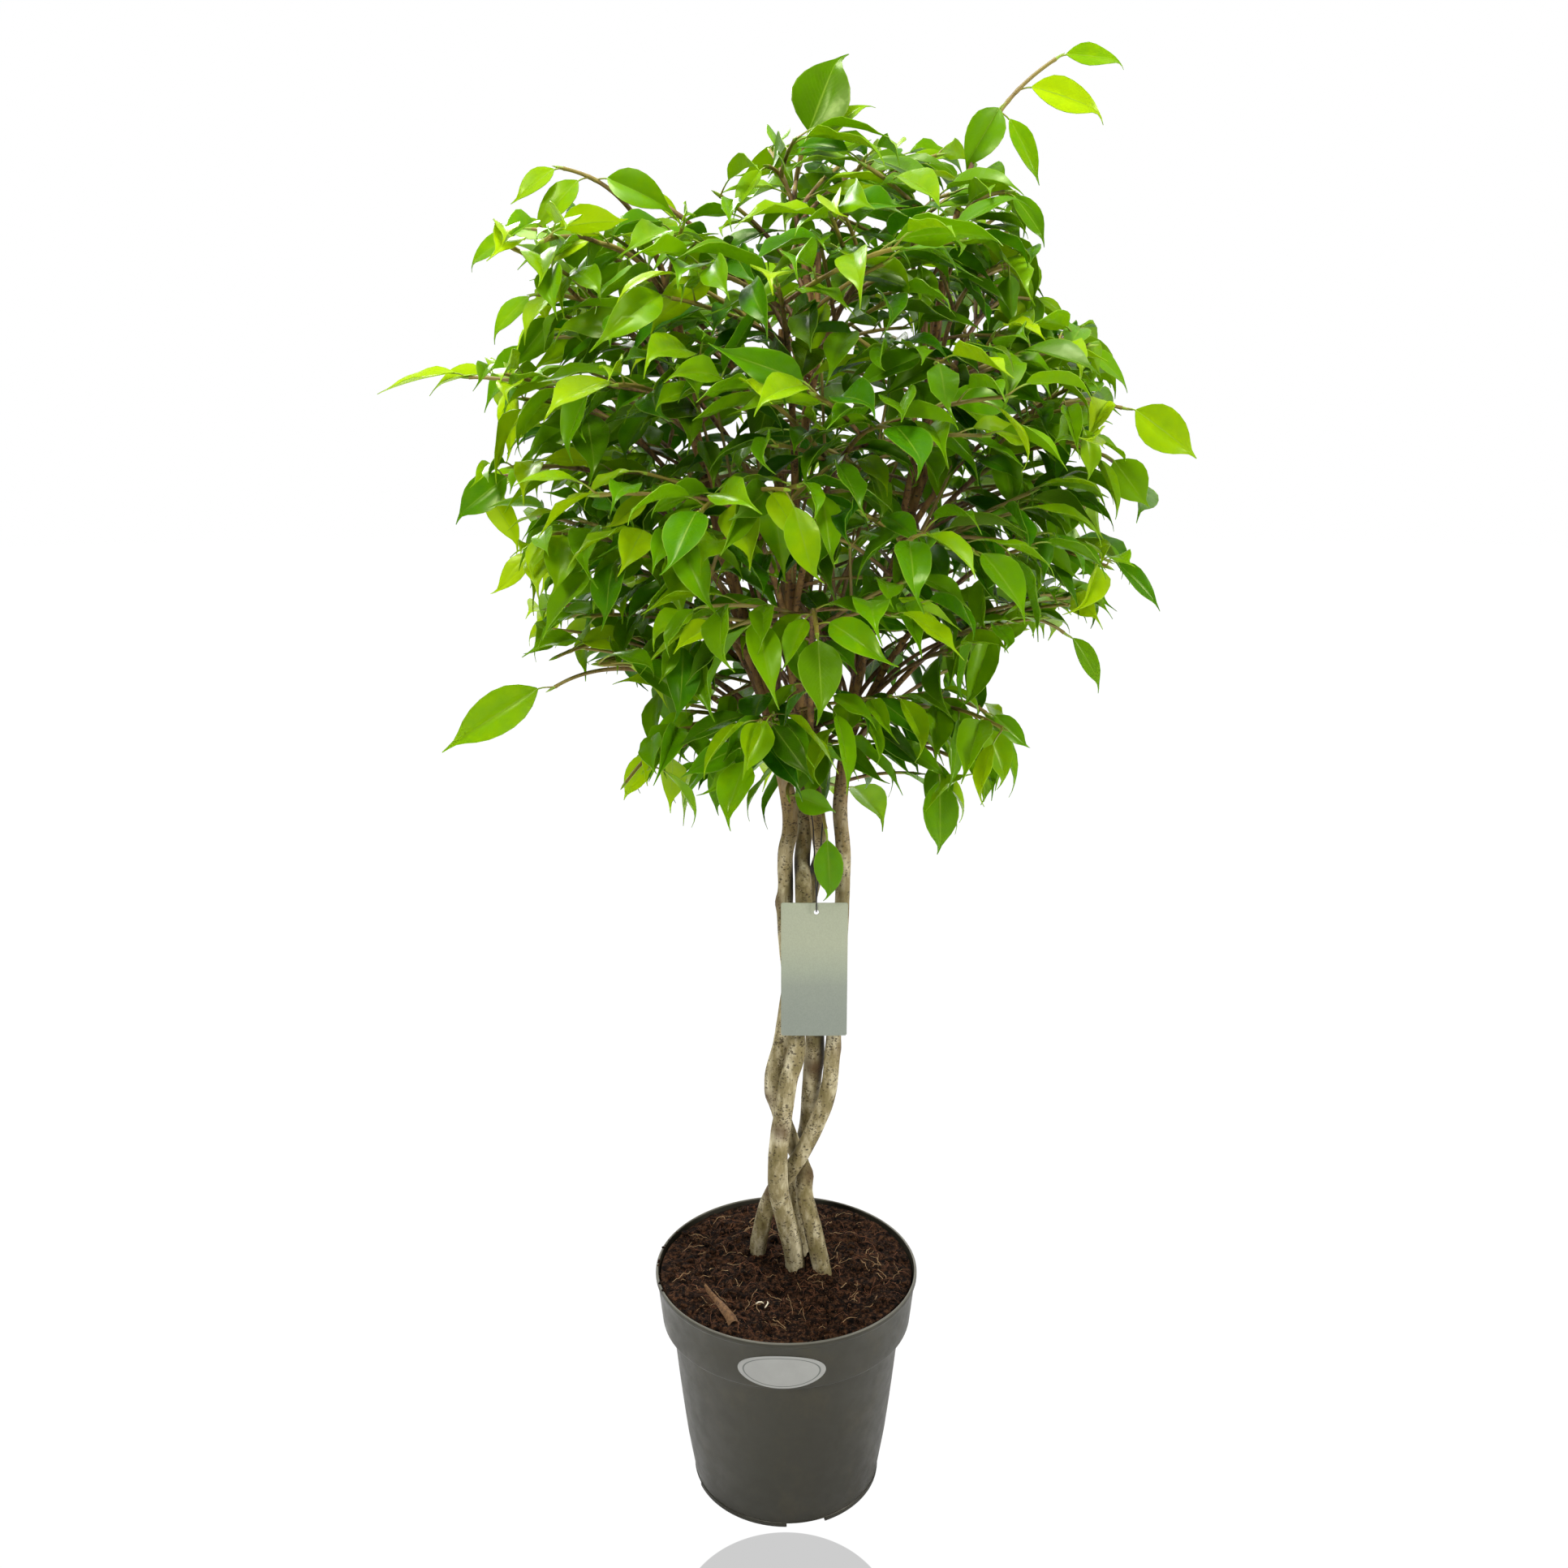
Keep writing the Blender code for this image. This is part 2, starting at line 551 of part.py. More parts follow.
def leaf_mesh(leaf, half, grow=0.0):
    """Few-sided leaf of one thickness, its two faces cut into triangles alike."""
    root, base, side, line = leaf_stations(leaf)
    normal = leaf["normal"]
    wide, wide_n = line[8]
    tip, tip_n = line[20]
    w = leaf["width"] + grow
    up = math.sin(leaf["fold"]) * w
    across = math.cos(leaf["fold"]) * w
    p = PETIOLE_HALF_WIDTH + grow
    stretch = unit(tip - wide) * grow
    spots = (
        (root - side * p, normal),
        (root + side * p, normal),
        (base + side * p, normal),
        (wide + side * across + wide_n * up, wide_n),
        (tip + stretch, tip_n),
        (wide - side * across + wide_n * up, wide_n),
        (base - side * p, normal),
        (wide, wide_n),
    )
    top = [s + n * (half + grow) for s, n in spots]
    low = [s - n * (half + grow) for s, n in spots]
    blade = ((0, 1, 2, 6), (6, 2, 7), (2, 3, 7), (3, 4, 7), (4, 5, 7), (5, 6, 7))
    faces = list(blade)
    faces += [tuple(8 + a for a in reversed(face)) for face in blade]
    for a in range(7):
        b = (a + 1) % 7
        if a in (0, 1, 6):
            faces.append((a, 8 + a, 8 + b, b))
        else:
            faces.append((a, 8 + a, 8 + b))
            faces.append((a, 8 + b, b))
    return top + low, faces


def join_all(target, helpers):
    """One Boolean union of a collection's objects into target, applied; the helpers are removed."""
    if helpers.objects:
        mod = target.modifiers.new("join", "BOOLEAN")
        mod.operation = "UNION"
        mod.operand_type = "COLLECTION"
        mod.collection = helpers
        mod.solver = "MANIFOLD"
        apply_modifier(target, mod)
    for obj in list(helpers.objects):
        bpy.data.objects.remove(obj)
    bpy.data.collections.remove(helpers)
    bm = bmesh.new()
    bm.from_mesh(target.data)
    drop_scraps(bm, target.name)
    bmesh.ops.triangulate(bm, faces=bm.faces)
    bm.to_mesh(target.data)
    bm.free()


def drop_scraps(bm, name):
    """Keep only the largest of a mesh's loose bodies."""
    left = set(bm.verts)
    bodies = []
    while left:
        seed = left.pop()
        body = {seed}
        edge = [seed]
        while edge:
            for e in edge.pop().link_edges:
                for v in e.verts:
                    if v in left:
                        left.remove(v)
                        body.add(v)
                        edge.append(v)
        bodies.append(body)
    bodies.sort(key=len)
    if len(bodies) > 1:
        print("loose bodies in", name, [len(b) for b in bodies])
    for body in bodies[:-1]:
        bmesh.ops.delete(bm, geom=list(body), context="VERTS")


def apply_modifier(obj, mod):
    """Apply one modifier."""
    bpy.ops.object.select_all(action="DESELECT")
    bpy.context.view_layer.objects.active = obj
    obj.select_set(True)
    bpy.ops.object.modifier_apply(modifier=mod.name)


def cut_all(target, cutters):
    """One Boolean difference of a collection's objects from target, applied; the cutters are removed."""
    mod = target.modifiers.new("cut", "BOOLEAN")
    mod.operation = "DIFFERENCE"
    mod.operand_type = "COLLECTION"
    mod.collection = cutters
    mod.solver = "EXACT"
    apply_modifier(target, mod)
    for obj in list(cutters.objects):
        bpy.data.objects.remove(obj)
    bpy.data.collections.remove(cutters)


def helper_collection(name):
    """Collection for cutters or for parts that get joined, shown as wire and never rendered."""
    coll = bpy.data.collections.new(name)
    bpy.context.scene.collection.children.link(coll)
    coll.hide_render = True
    return coll


def as_helper(obj):
    """Mark an object as one that isn't part of the plant."""
    obj.display_type = "WIRE"
    obj.hide_render = True
    return obj


def lathe(name, profile, facets, where, mat):
    """Turned solid: a Screw modifier on a profile of radius and height that starts and ends on the axis."""
    mesh = bpy.data.meshes.new(name)
    verts = [(r, 0, z) for r, z in profile]
    mesh.from_pydata(verts, [(i, i + 1) for i in range(len(verts) - 1)], [])
    mesh.materials.append(mat)
    obj = bpy.data.objects.new(name, mesh)
    where.objects.link(obj)
    mod = obj.modifiers.new("turn", "SCREW")
    mod.steps = facets
    mod.render_steps = facets
    mod.use_merge_vertices = True
    mod.merge_threshold = 0.00001
    mod.use_normal_calculate = True
    apply_modifier(obj, mod)
    clean_normals(obj)
    return obj


def clean_normals(obj):
    """Point all faces outward and shade them smooth."""
    bm = bmesh.new()
    bm.from_mesh(obj.data)
    bmesh.ops.recalc_face_normals(bm, faces=bm.faces)
    bm.to_mesh(obj.data)
    bm.free()
    obj.data.shade_smooth()


def flat_sides(obj, angle=40):
    """Smooth shading with creases where faces meet at more than an angle."""
    obj.data.set_sharp_from_angle(angle=math.radians(angle))


# Pot, soil and label.
POT_WALL = (
    (74.9, 0.0), (75.9, 0.8), (76.0, 4.3), (75.6, 4.9), (81.6, 41.8), (85.8, 76.6),
    (92.0, 137.0), (100.0, 143.5), (103.6, 179.6), (105.0, 181.0), (105.0, 184.2),
    (103.4, 184.5), (102.2, 179.8), (98.6, 144.8), (90.6, 138.2), (82.4, 59.0),
    (74.2, 5.8),
)


def build_pot(where, mat):
    """Thin-walled pot with a stepped collar, a notched foot ring and drainage holes."""
    inner = [(0.0, 0.0), (14.0, 0.0), (15.0, 4.2), (67.0, 4.2), (68.0, 0.0)]
    profile = [(r * MM, z * MM) for r, z in inner + list(POT_WALL) + [(0.0, 5.8)]]
    pot = lathe("pot", list(reversed(profile)), POT_FACETS, where, mat)
    cutters = helper_collection("pot_cutters")
    for k in range(FOOT_NOTCHES):
        a = math.radians(-78 + 360 / FOOT_NOTCHES * k)
        bpy.ops.mesh.primitive_cube_add(size=1, location=(0.072 * math.cos(a), 0.072 * math.sin(a), 0))
        box = bpy.context.object
        box.scale = (0.018, FOOT_NOTCH_WIDTH, 2 * FOOT_NOTCH_HEIGHT)
        box.rotation_euler[2] = a
        move_to(as_helper(box), cutters)
    for k in range(DRAIN_HOLES):
        a = 2 * math.pi * (k + 0.5) / DRAIN_HOLES
        spot = (DRAIN_CIRCLE * math.cos(a), DRAIN_CIRCLE * math.sin(a), 0.005)
        bpy.ops.mesh.primitive_cylinder_add(vertices=10, radius=DRAIN_RADIUS, depth=0.02, location=spot)
        move_to(as_helper(bpy.context.object), cutters)
    cut_all(pot, cutters)
    flat_sides(pot)
    return pot


def move_to(obj, coll):
    """Link an object into one collection only."""
    for other in list(obj.users_collection):
        other.objects.unlink(obj)
    coll.objects.link(obj)


def soil_height(x, y):
    """Height of the heaped soil at a point."""
    r = math.hypot(x, y) / 0.1005
    heap = SOIL_HEAP * (0.5 + 0.5 * math.cos(math.pi * min(1.0, r)))
    a = math.atan2(y, x)
    wave = math.sin(3 * a + 1.1 + 9 * r) + 0.7 * math.sin(5 * a - 0.6 + 5 * r) + 0.5 * math.sin(8 * a + 13 * r)
    return SOIL_EDGE_Z + heap + 0.0011 * wave * min(1.0, 3 * (1 - r) + 0.35)


def build_soil(where, mat):
    """Plug of potting soil with a plain hole for each strand."""
    fit = math.cos(math.pi / POT_FACETS)
    inside = ((73.9, 6.1), (82.1, 59.0), (90.3, 138.4), (98.3, 145.0), (101.9, 179.9))
    rim = [(r * MM * fit, z * MM) for r, z in inside]
    rings = [(r, SOIL_EDGE_Z) for r in (0.1005, 0.084, 0.058, 0.028, 0.0)]
    profile = [(0.0, rim[0][1])] + rim + rings
    soil = lathe("soil", list(reversed(profile)), SOIL_FACETS, where, mat)
    for vert in soil.data.vertices:
        if vert.co.z > SOIL_EDGE_Z - 0.0005:
            vert.co.z = soil_height(vert.co.x, vert.co.y)
    bm = bmesh.new()
    bm.from_mesh(soil.data)
    bmesh.ops.triangulate(bm, faces=bm.faces)
    bm.to_mesh(soil.data)
    bm.free()
    cutters = helper_collection("soil_cutters")
    for name, rows in STRANDS.items():
        low = np.array(rows[0][:3]) * MM
        high = np.array(rows[1][:3]) * MM
        way = unit(high - low)
        radius = max(rows[0][3], rows[1][3]) * MM + 2 * GAP
        line = np.array([low - way * 2 * GAP, high + way * 0.012])
        middle = Vector((line[0] + line[1]) / 2)
        bpy.ops.mesh.primitive_cylinder_add(
            vertices=12, radius=radius, depth=np.linalg.norm(line[1] - line[0]), location=middle
        )
        bpy.context.object.name = "hole_" + name
        bpy.context.object.rotation_euler = Vector(way).to_track_quat("Z", "Y").to_euler()
        move_to(as_helper(bpy.context.object), cutters)
    cut_all(soil, cutters)
    return soil


def build_label(where, mat):
    """Thin blank oval that follows the collar's front."""
    columns = 12
    centre = math.asin(LABEL_CENTRE[0] / 0.1018)
    reach = LABEL_HALF[0] / 0.1018
    verts = []
    for depth in (GAP, GAP + LABEL_THICKNESS):
        for k in range(columns + 1):
            u = -math.cos(math.pi * k / columns)
            a = centre + reach * u
            h = LABEL_HALF[1] * math.sqrt(max(0.0, 1 - u * u))
            for z in (LABEL_CENTRE[1] - h, LABEL_CENTRE[1] + h):
                r = 0.1000 + (z - 0.1435) * 0.0036 / 0.0361 + depth
                verts.append((r * math.sin(a), -r * math.cos(a), z))
    row = 2 * (columns + 1)
    faces = []
    for k in range(columns):
        a, b, c, d = 2 * k, 2 * k + 2, 2 * k + 3, 2 * k + 1
        faces.append((a, b, c, d))
        faces.append((row + d, row + c, row + b, row + a))
        faces.append((a, row + a, row + b, b))
        faces.append((d, c, row + c, row + d))
    mesh = new_object("pot_label", verts, faces, where, mat)
    bm = bmesh.new()
    bm.from_mesh(mesh.data)
    bmesh.ops.remove_doubles(bm, verts=bm.verts, dist=1e-6)
    bmesh.ops.dissolve_degenerate(bm, edges=bm.edges, dist=1e-6)
    bmesh.ops.recalc_face_normals(bm, faces=bm.faces)
    bm.to_mesh(mesh.data)
    bm.free()
    return mesh


# Hang tag.
CORD_DOWN = (
    (17.6, -18.4, 566.0), (19.4, -20.4, 556.0), (21.0, -24.6, 525.0), (22.1, -28.6, 499.0),
    (22.1, -28.9, 494.2), (22.1, -27.9, 492.4), (22.1, -24.4, 492.4), (22.1, -23.3, 494.0),
    (22.3, -22.9, 501.0), (24.4, -21.2, 530.0), (26.4, -18.2, 556.0),
)
CORD_LOOP_RADIUS = 7.05


def cord_points():
    """String from its knot down through the card's hole, back up and once around a strand, in mm."""
    points = list(CORD_DOWN)
    for k in range(10):
        a = math.radians(-38 + 29 * k)
        z = 571.0 + 5.0 * math.sin(math.pi * k / 9)
        x = 21.0 - 0.167 * (z - 572.0) + CORD_LOOP_RADIUS * math.cos(a)
        y = -10.0 - 0.188 * (z - 572.0) + CORD_LOOP_RADIUS * math.sin(a)
        points.append((x, y, z))
    return np.array(points) * MM


def build_tag(where, card_mat, cord_mat):
    """Card with a punched hole, and the string through it."""
    size = (TAG_X[1] - TAG_X[0], TAG_THICKNESS, TAG_Z[1] - TAG_Z[0])
    middle = ((TAG_X[0] + TAG_X[1]) / 2, TAG_Y, (TAG_Z[0] + TAG_Z[1]) / 2)
    bpy.ops.mesh.primitive_cube_add(size=1, location=middle)
    card = bpy.context.object
    card.name = "tag_card"
    card.data.name = "tag_card"
    card.scale = size
    bpy.ops.object.transform_apply(location=True, rotation=False, scale=True)
    move_to(card, where)
    card.data.materials.append(card_mat)
    cutters = helper_collection("tag_cutters")
    turned = Matrix.Translation((TAG_HOLE[0], TAG_Y, TAG_HOLE[1])) @ Matrix.Rotation(math.pi / 2, 4, "X")
    bpy.ops.mesh.primitive_cylinder_add(vertices=14, radius=TAG_HOLE[2], depth=0.01)
    bpy.context.object.matrix_world = turned
    move_to(as_helper(bpy.context.object), cutters)
    cut_all(card, cutters)
    points = cord_points()
    curve_tube("tag_cord", points, [CORD_DIAMETER / 2] * len(points), 1, where, cord_mat)


# Stems and leafy twigs.
def build_stem(name, strand, shoots, where, mat):
    """One braided strand with its leader and the limbs that grow from it."""
    rows = np.array(STRANDS[strand]) * MM
    line = np.vstack([rows[0], smooth_path(rows[1:], 0.016)])
    line = line[line[:, 2] < 0.586]
    joint = line[-1]
    stem = curve_tube(name, line[:, :3], line[:, 3], 2, where, mat)
    helpers = helper_collection(name + "_limbs")
    leader = smooth_path(rows, 0.013)
    leader = leader[leader[:, 2] > joint[2] - 0.008][::4]
    leader = np.vstack([leader, rows[-1]]) if np.linalg.norm(leader[-1] - rows[-1]) > 0.004 else leader
    as_helper(curve_tube("leader", leader[:, :3], leader[:, 3] * 0.97, 1, helpers))
    for shoot in shoots:
        if shoot["strand"] == strand:
            points, radii = shoot["limb"]
            points = np.vstack([points[:-1], points[-1] - shoot["way"] * 0.002, points[-1]])
            radii = np.append(radii, radii[-1])
            as_helper(curve_tube("limb", points, radii, 0, helpers))
    join_all(stem, helpers)
    return stem


def tree_of(verts, faces):
    """Search tree of a mesh, for clearance tests."""
    return BVHTree.FromPolygons([Vector(v) for v in verts], faces)


def box_of(verts):
    """Lowest and highest corner of a mesh."""
    v = np.array(verts)
    return np.concatenate([v.min(0), v.max(0)])


class Room:
    """Everything already placed, with the node and the twig it belongs to."""

    def __init__(self):
        self.boxes = []
        self.trees = []
        self.owners = []

    def add(self, verts, faces, node, twig=None):
        """Record a placed mesh."""
        self.boxes.append(box_of(verts))
        self.trees.append(tree_of(verts, faces))
        self.owners.append((node, twig))

    def is_clear(self, verts, faces, node, twig=None, only_others=False):
        """Whether a mesh keeps clear of all placed ones, apart from the twig it grows on."""
        box = box_of(verts)
        boxes = np.array(self.boxes)
        near = np.all(boxes[:, :3] <= box[3:], axis=1) & np.all(boxes[:, 3:] >= box[:3], axis=1)
        tree = None
        for i in np.nonzero(near)[0]:
            owner = self.owners[i]
            if owner[0] == node and (only_others or (twig is not None and owner[1] in twig)):
                continue
            tree = tree or tree_of(verts, faces)
            if tree.overlap(self.trees[i]):
                return False
        return True


def few(twig, count):
    """A twig's line at a few points only."""
    keep = np.round(np.linspace(0, len(twig["points"]) - 1, count)).astype(int)
    return twig["points"][keep], twig["radii"][keep]


def seat(point, line):
    """Shift that brings a point onto the nearest place of a polyline."""
    best = None
    for a, b in zip(line, line[1:]):
        t = np.dot(point - a, b - a) / np.dot(b - a, b - a)
        near = a + (b - a) * max(0.0, min(1.0, t))
        if best is None or np.linalg.norm(near - point) < np.linalg.norm(best):
            best = near - point
    return best


def choose_leaves(shoots, stems, extras):
    """For each shoot the side twigs and leaves that stay clear of all other pieces."""
    room = Room()
    for obj in stems + extras:
        verts = [v.co for v in obj.data.vertices]
        faces = [tuple(p.vertices) for p in obj.data.polygons]
        room.add(verts, faces, obj.name)
    for i, shoot in enumerate(shoots):
        twig = shoot["twigs"][0]
        points, radii = few(twig, 5)
        points = np.vstack([points[0], points[0] + shoot["way"] * 0.002, points[1:]])
        radii = np.append(radii[0], radii)
        shoot["kept_twigs"] = [(0, points, radii)]
        room.add(*shell(points, radii, 6), i, 0)
    for i, shoot in enumerate(shoots):
        for k, twig in enumerate(shoot["twigs"][1:3], 1):
            points, radii = few(twig, 3)
            points = points + seat(points[0], shoot["kept_twigs"][0][1])
            wide = shell(points, radii + 0.0008, 6)
            if room.is_clear(*wide, i, twig=(0,)):
                shoot["kept_twigs"].append((k, points, radii))
                room.add(*shell(points, radii, 6), i, k)
    total = 0
    rng = random.Random(SEED + 7)
    queues = []
    for i, shoot in enumerate(shoots):
        shoot["kept_leaves"] = []
        kept = [k for k, _, _ in shoot["kept_twigs"]]
        ends = [leaf for leaf in shoot["leaves"] if leaf["terminal"] and leaf["twig"] in kept]
        rest = [leaf for leaf in shoot["leaves"] if not leaf["terminal"] and leaf["twig"] in kept]
        rest.sort(key=lambda leaf: -leaf["place"] + 0.9 * rng.random())
        queues.append(ends + rest)
    while total < LEAF_BUDGET and any(queues):
        for i, queue in enumerate(queues):
            while queue:
                leaf = dict(queue.pop(0))
                line = next(points for k, points, _ in shoots[i]["kept_twigs"] if k == leaf["twig"])
                leaf["root"] = leaf["root"] + seat(leaf["root"], line)
                if leaf["terminal"]:
                    leaf["root"] = leaf["root"] - unit(line[-1] - line[-2]) * 0.0025
                verts, faces = leaf_mesh(leaf, LEAF_HALF_THICKNESS, LEAF_CLEARANCE)
                if not room.is_clear(verts, faces, i, twig=(leaf["twig"],)):
                    continue
                exact = leaf_mesh(leaf, LEAF_HALF_THICKNESS)
                room.add(*exact, i, "leaf")
                shoot = shoots[i]
                shoot["kept_leaves"].append(exact)
                total += 1
                break
            if total >= LEAF_BUDGET:
                break
    return total


def build_spray(name, shoot, where, mat):
    """A leafy twig: twig, side twigs and leaves in one body."""
    helpers = helper_collection(name + "_parts")
    first = None
    for k, points, radii in shoot["kept_twigs"]:
        if k == 0:
            first = curve_tube(name, points, radii, -1, where, mat)
        else:
            as_helper(curve_tube("twig", points, radii, -1, helpers))
    for verts, faces in shoot["kept_leaves"]:
        as_helper(new_object("leaf", verts, faces, helpers))
    join_all(first, helpers)
    return first


# The plant.
def main():
    """Build every piece of the plant and its pot."""
    for obj in list(bpy.data.objects):
        bpy.data.objects.remove(obj)
    where = bpy.data.collections.new("weeping_fig")
    bpy.context.scene.collection.children.link(where)
    plastic = make_material("pot_plastic", (0.075, 0.074, 0.066), 0.55)
    peat = make_material("peat", (0.040, 0.019, 0.012), 0.95)
    bark = make_material("bark", (0.40, 0.34, 0.22), 0.8)
    foliage = make_material("foliage", (0.10, 0.30, 0.015), 0.35)
    card = make_material("card", (0.46, 0.52, 0.44), 0.7)
    string = make_material("string", (0.03, 0.03, 0.03), 0.8)
    paper = make_material("label_paper", (0.60, 0.61, 0.60), 0.5)

    build_pot(where, plastic)
    build_soil(where, peat)
    build_label(where, paper)
    build_tag(where, card, string)
    shoots = grow_crown()
    stems = [build_stem("stem_" + s, s, shoots, where, bark) for s in STRANDS]
    extras = [where.objects["tag_card"], where.objects["tag_cord"]]
    total = choose_leaves(shoots, stems, extras)
    section = twig_section()
    for i, shoot in enumerate(shoots):
        build_spray(f"spray_{i + 1:02d}", shoot, where, foliage)
    bpy.data.objects.remove(section)
    tight = [i + 1 for i, s in enumerate(shoots) if s["room"] < 0.0055]
    faces = {o.name: sum(len(p.vertices) - 2 for p in o.data.polygons) for o in where.objects}
    print("leaves", total, "of", sum(len(s["leaves"]) for s in shoots), "shoots", len(shoots), "tight", tight)
    print("triangles", sum(faces.values()), {k: v for k, v in faces.items() if not k.startswith("spray")})
    print("sprays", sum(v for k, v in faces.items() if k.startswith("spray")))


main()
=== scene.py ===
"""A weeping fig with a braided trunk, standing in its nursery pot.

Metres, +Z up, the middle of the pot's underside at the origin and the plant's front facing -Y. The rows of
numbers that are in millimetres say so and pass through MM. The crown grows by the same seeded rule as the
solids of the frame, so every finer twig and leaf lies where its solid is, and more of them fill the crown.
"""

from __future__ import annotations

import logging
import math
import random
from dataclasses import dataclass, field
from enum import Enum

import bmesh
import bpy
import numpy as np
from mathutils import Matrix, Vector, noise
from mathutils.bvhtree import BVHTree
from mathutils.kdtree import KDTree

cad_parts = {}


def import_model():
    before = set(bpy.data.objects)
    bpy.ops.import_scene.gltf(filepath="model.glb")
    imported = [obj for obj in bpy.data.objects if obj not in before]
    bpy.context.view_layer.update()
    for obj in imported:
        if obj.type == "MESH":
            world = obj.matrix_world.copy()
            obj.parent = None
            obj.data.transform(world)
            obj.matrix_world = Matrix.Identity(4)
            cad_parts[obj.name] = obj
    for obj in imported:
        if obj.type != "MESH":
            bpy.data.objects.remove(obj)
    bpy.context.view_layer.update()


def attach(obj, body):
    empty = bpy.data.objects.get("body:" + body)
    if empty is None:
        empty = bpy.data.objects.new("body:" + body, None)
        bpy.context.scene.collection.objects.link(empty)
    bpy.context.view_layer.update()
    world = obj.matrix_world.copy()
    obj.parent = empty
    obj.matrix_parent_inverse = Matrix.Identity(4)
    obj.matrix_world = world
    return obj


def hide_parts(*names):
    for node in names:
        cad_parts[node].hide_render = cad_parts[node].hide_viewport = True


LOG = logging.getLogger("weeping_fig")
MM = 0.001
UP = np.array([0.0, 0.0, 1.0])
GOLDEN_ANGLE = 2.399963
Array = np.ndarray
Line = tuple[Array, Array]


# Vectors and lines


def unit(v: Array) -> Array:
    """The vector at length one."""
    v = np.asarray(v, float)
    return v / max(float(np.linalg.norm(v)), 1e-12)


def turn(v: Array, axis: Array, angle: float) -> Array:
    """The vector turned about a unit axis by an angle in radians."""
    c, s = math.cos(angle), math.sin(angle)
    return v * c + np.cross(axis, v) * s + axis * np.dot(axis, v) * (1 - c)


def smooth_path(rows: Array, step: float) -> Array:
    """Catmull-Rom line through rows of x, y, z, radius.

    Args:
        rows: the rows that the line passes through.
        step: how far apart the new points are, about, in metres.

    Returns:
        The finer rows.
    """
    rows = np.asarray(rows, float)
    ends = np.vstack([2 * rows[0] - rows[1], rows, 2 * rows[-1] - rows[-2]])
    out = []
    for i in range(len(rows) - 1):
        p0, p1, p2, p3 = ends[i : i + 4]
        count = max(1, int(round(np.linalg.norm(p2[:3] - p1[:3]) / step)))
        for k in range(count):
            t = k / count
            a, b = 2 * p0 - 5 * p1 + 4 * p2 - p3, 3 * p1 - p0 - 3 * p2 + p3
            out.append(0.5 * (2 * p1 + (p2 - p0) * t + a * t**2 + b * t**3))
    out.append(rows[-1])
    return np.array(out)


def cubic(p0: Array, p1: Array, p2: Array, p3: Array, t: Array) -> Array:
    """Points of a cubic Bezier curve at the parameters t."""
    t = np.asarray(t, float)[:, None]
    s = 1 - t
    return s**3 * p0 + 3 * s**2 * t * p1 + 3 * s * t**2 * p2 + t**3 * p3


def tangents(points: Array) -> Array:
    """Unit direction of a polyline at each of its points."""
    d = np.gradient(points, axis=0)
    return d / np.linalg.norm(d, axis=1)[:, None]


def run_of(points: Array) -> Array:
    """Length of a polyline up to each of its points."""
    return np.concatenate([[0], np.cumsum(np.linalg.norm(np.diff(points, axis=0), axis=1))])


# Blender helpers


def deselect_all() -> None:
    """Nothing is selected afterwards."""
    bpy.ops.object.select_all(action="DESELECT")


def only(obj: bpy.types.Object) -> bpy.types.Object:
    """Make an object the only selected and the active one."""
    deselect_all()
    obj.select_set(True)
    bpy.context.view_layer.objects.active = obj
    return obj


def apply_modifier(obj: bpy.types.Object, kind: str, **settings: object) -> None:
    """Add a modifier with its settings and apply it at once."""
    mod = obj.modifiers.new(kind.lower(), kind)
    for key, value in settings.items():
        setattr(mod, key, value)
    only(obj)
    bpy.ops.object.modifier_apply(modifier=mod.name)


def tidy_faces(obj: bpy.types.Object, merge: float = 0.0) -> None:
    """Point an object's faces outwards, after its doubles are merged."""
    bm = bmesh.new()
    bm.from_mesh(obj.data)
    if merge:
        bmesh.ops.remove_doubles(bm, verts=bm.verts, dist=merge)
    bmesh.ops.recalc_face_normals(bm, faces=bm.faces)
    bm.to_mesh(obj.data)
    bm.free()


def shade(obj: bpy.types.Object, sharp_deg: float = 40.0) -> None:
    """Smooth shading with a crease where faces meet at more than an angle."""
    obj.data.shade_smooth()
    obj.data.set_sharp_from_angle(angle=math.radians(sharp_deg))


def from_arrays(name: str, verts: Array, faces: list) -> bpy.types.Object:
    """A linked mesh object from vertices and faces."""
    mesh = bpy.data.meshes.new(name)
    mesh.from_pydata(np.asarray(verts).tolist(), [], faces)
    obj = bpy.data.objects.new(name, mesh)
    bpy.context.scene.collection.objects.link(obj)
    return obj


def positions(mesh: bpy.types.Mesh) -> Array:
    """A mesh's vertices as an array."""
    co = np.empty(len(mesh.vertices) * 3)
    mesh.vertices.foreach_get("co", co)
    return co.reshape(-1, 3)


def give_positions(mesh: bpy.types.Mesh, co: Array) -> None:
    """Move a mesh's vertices to new places."""
    mesh.vertices.foreach_set("co", np.asarray(co, float).ravel())
    mesh.update()


def point_values(mesh: bpy.types.Mesh, name: str, values: Array) -> None:
    """Store one number for each vertex, for a material to read."""
    layer = mesh.attributes.new(name, "FLOAT", "POINT")
    layer.data.foreach_set("value", np.asarray(values, np.float32))


def dress(obj: bpy.types.Object, *materials: bpy.types.Material) -> None:
    """Give an object its material slots."""
    obj.data.materials.clear()
    for material in materials:
        obj.data.materials.append(material)


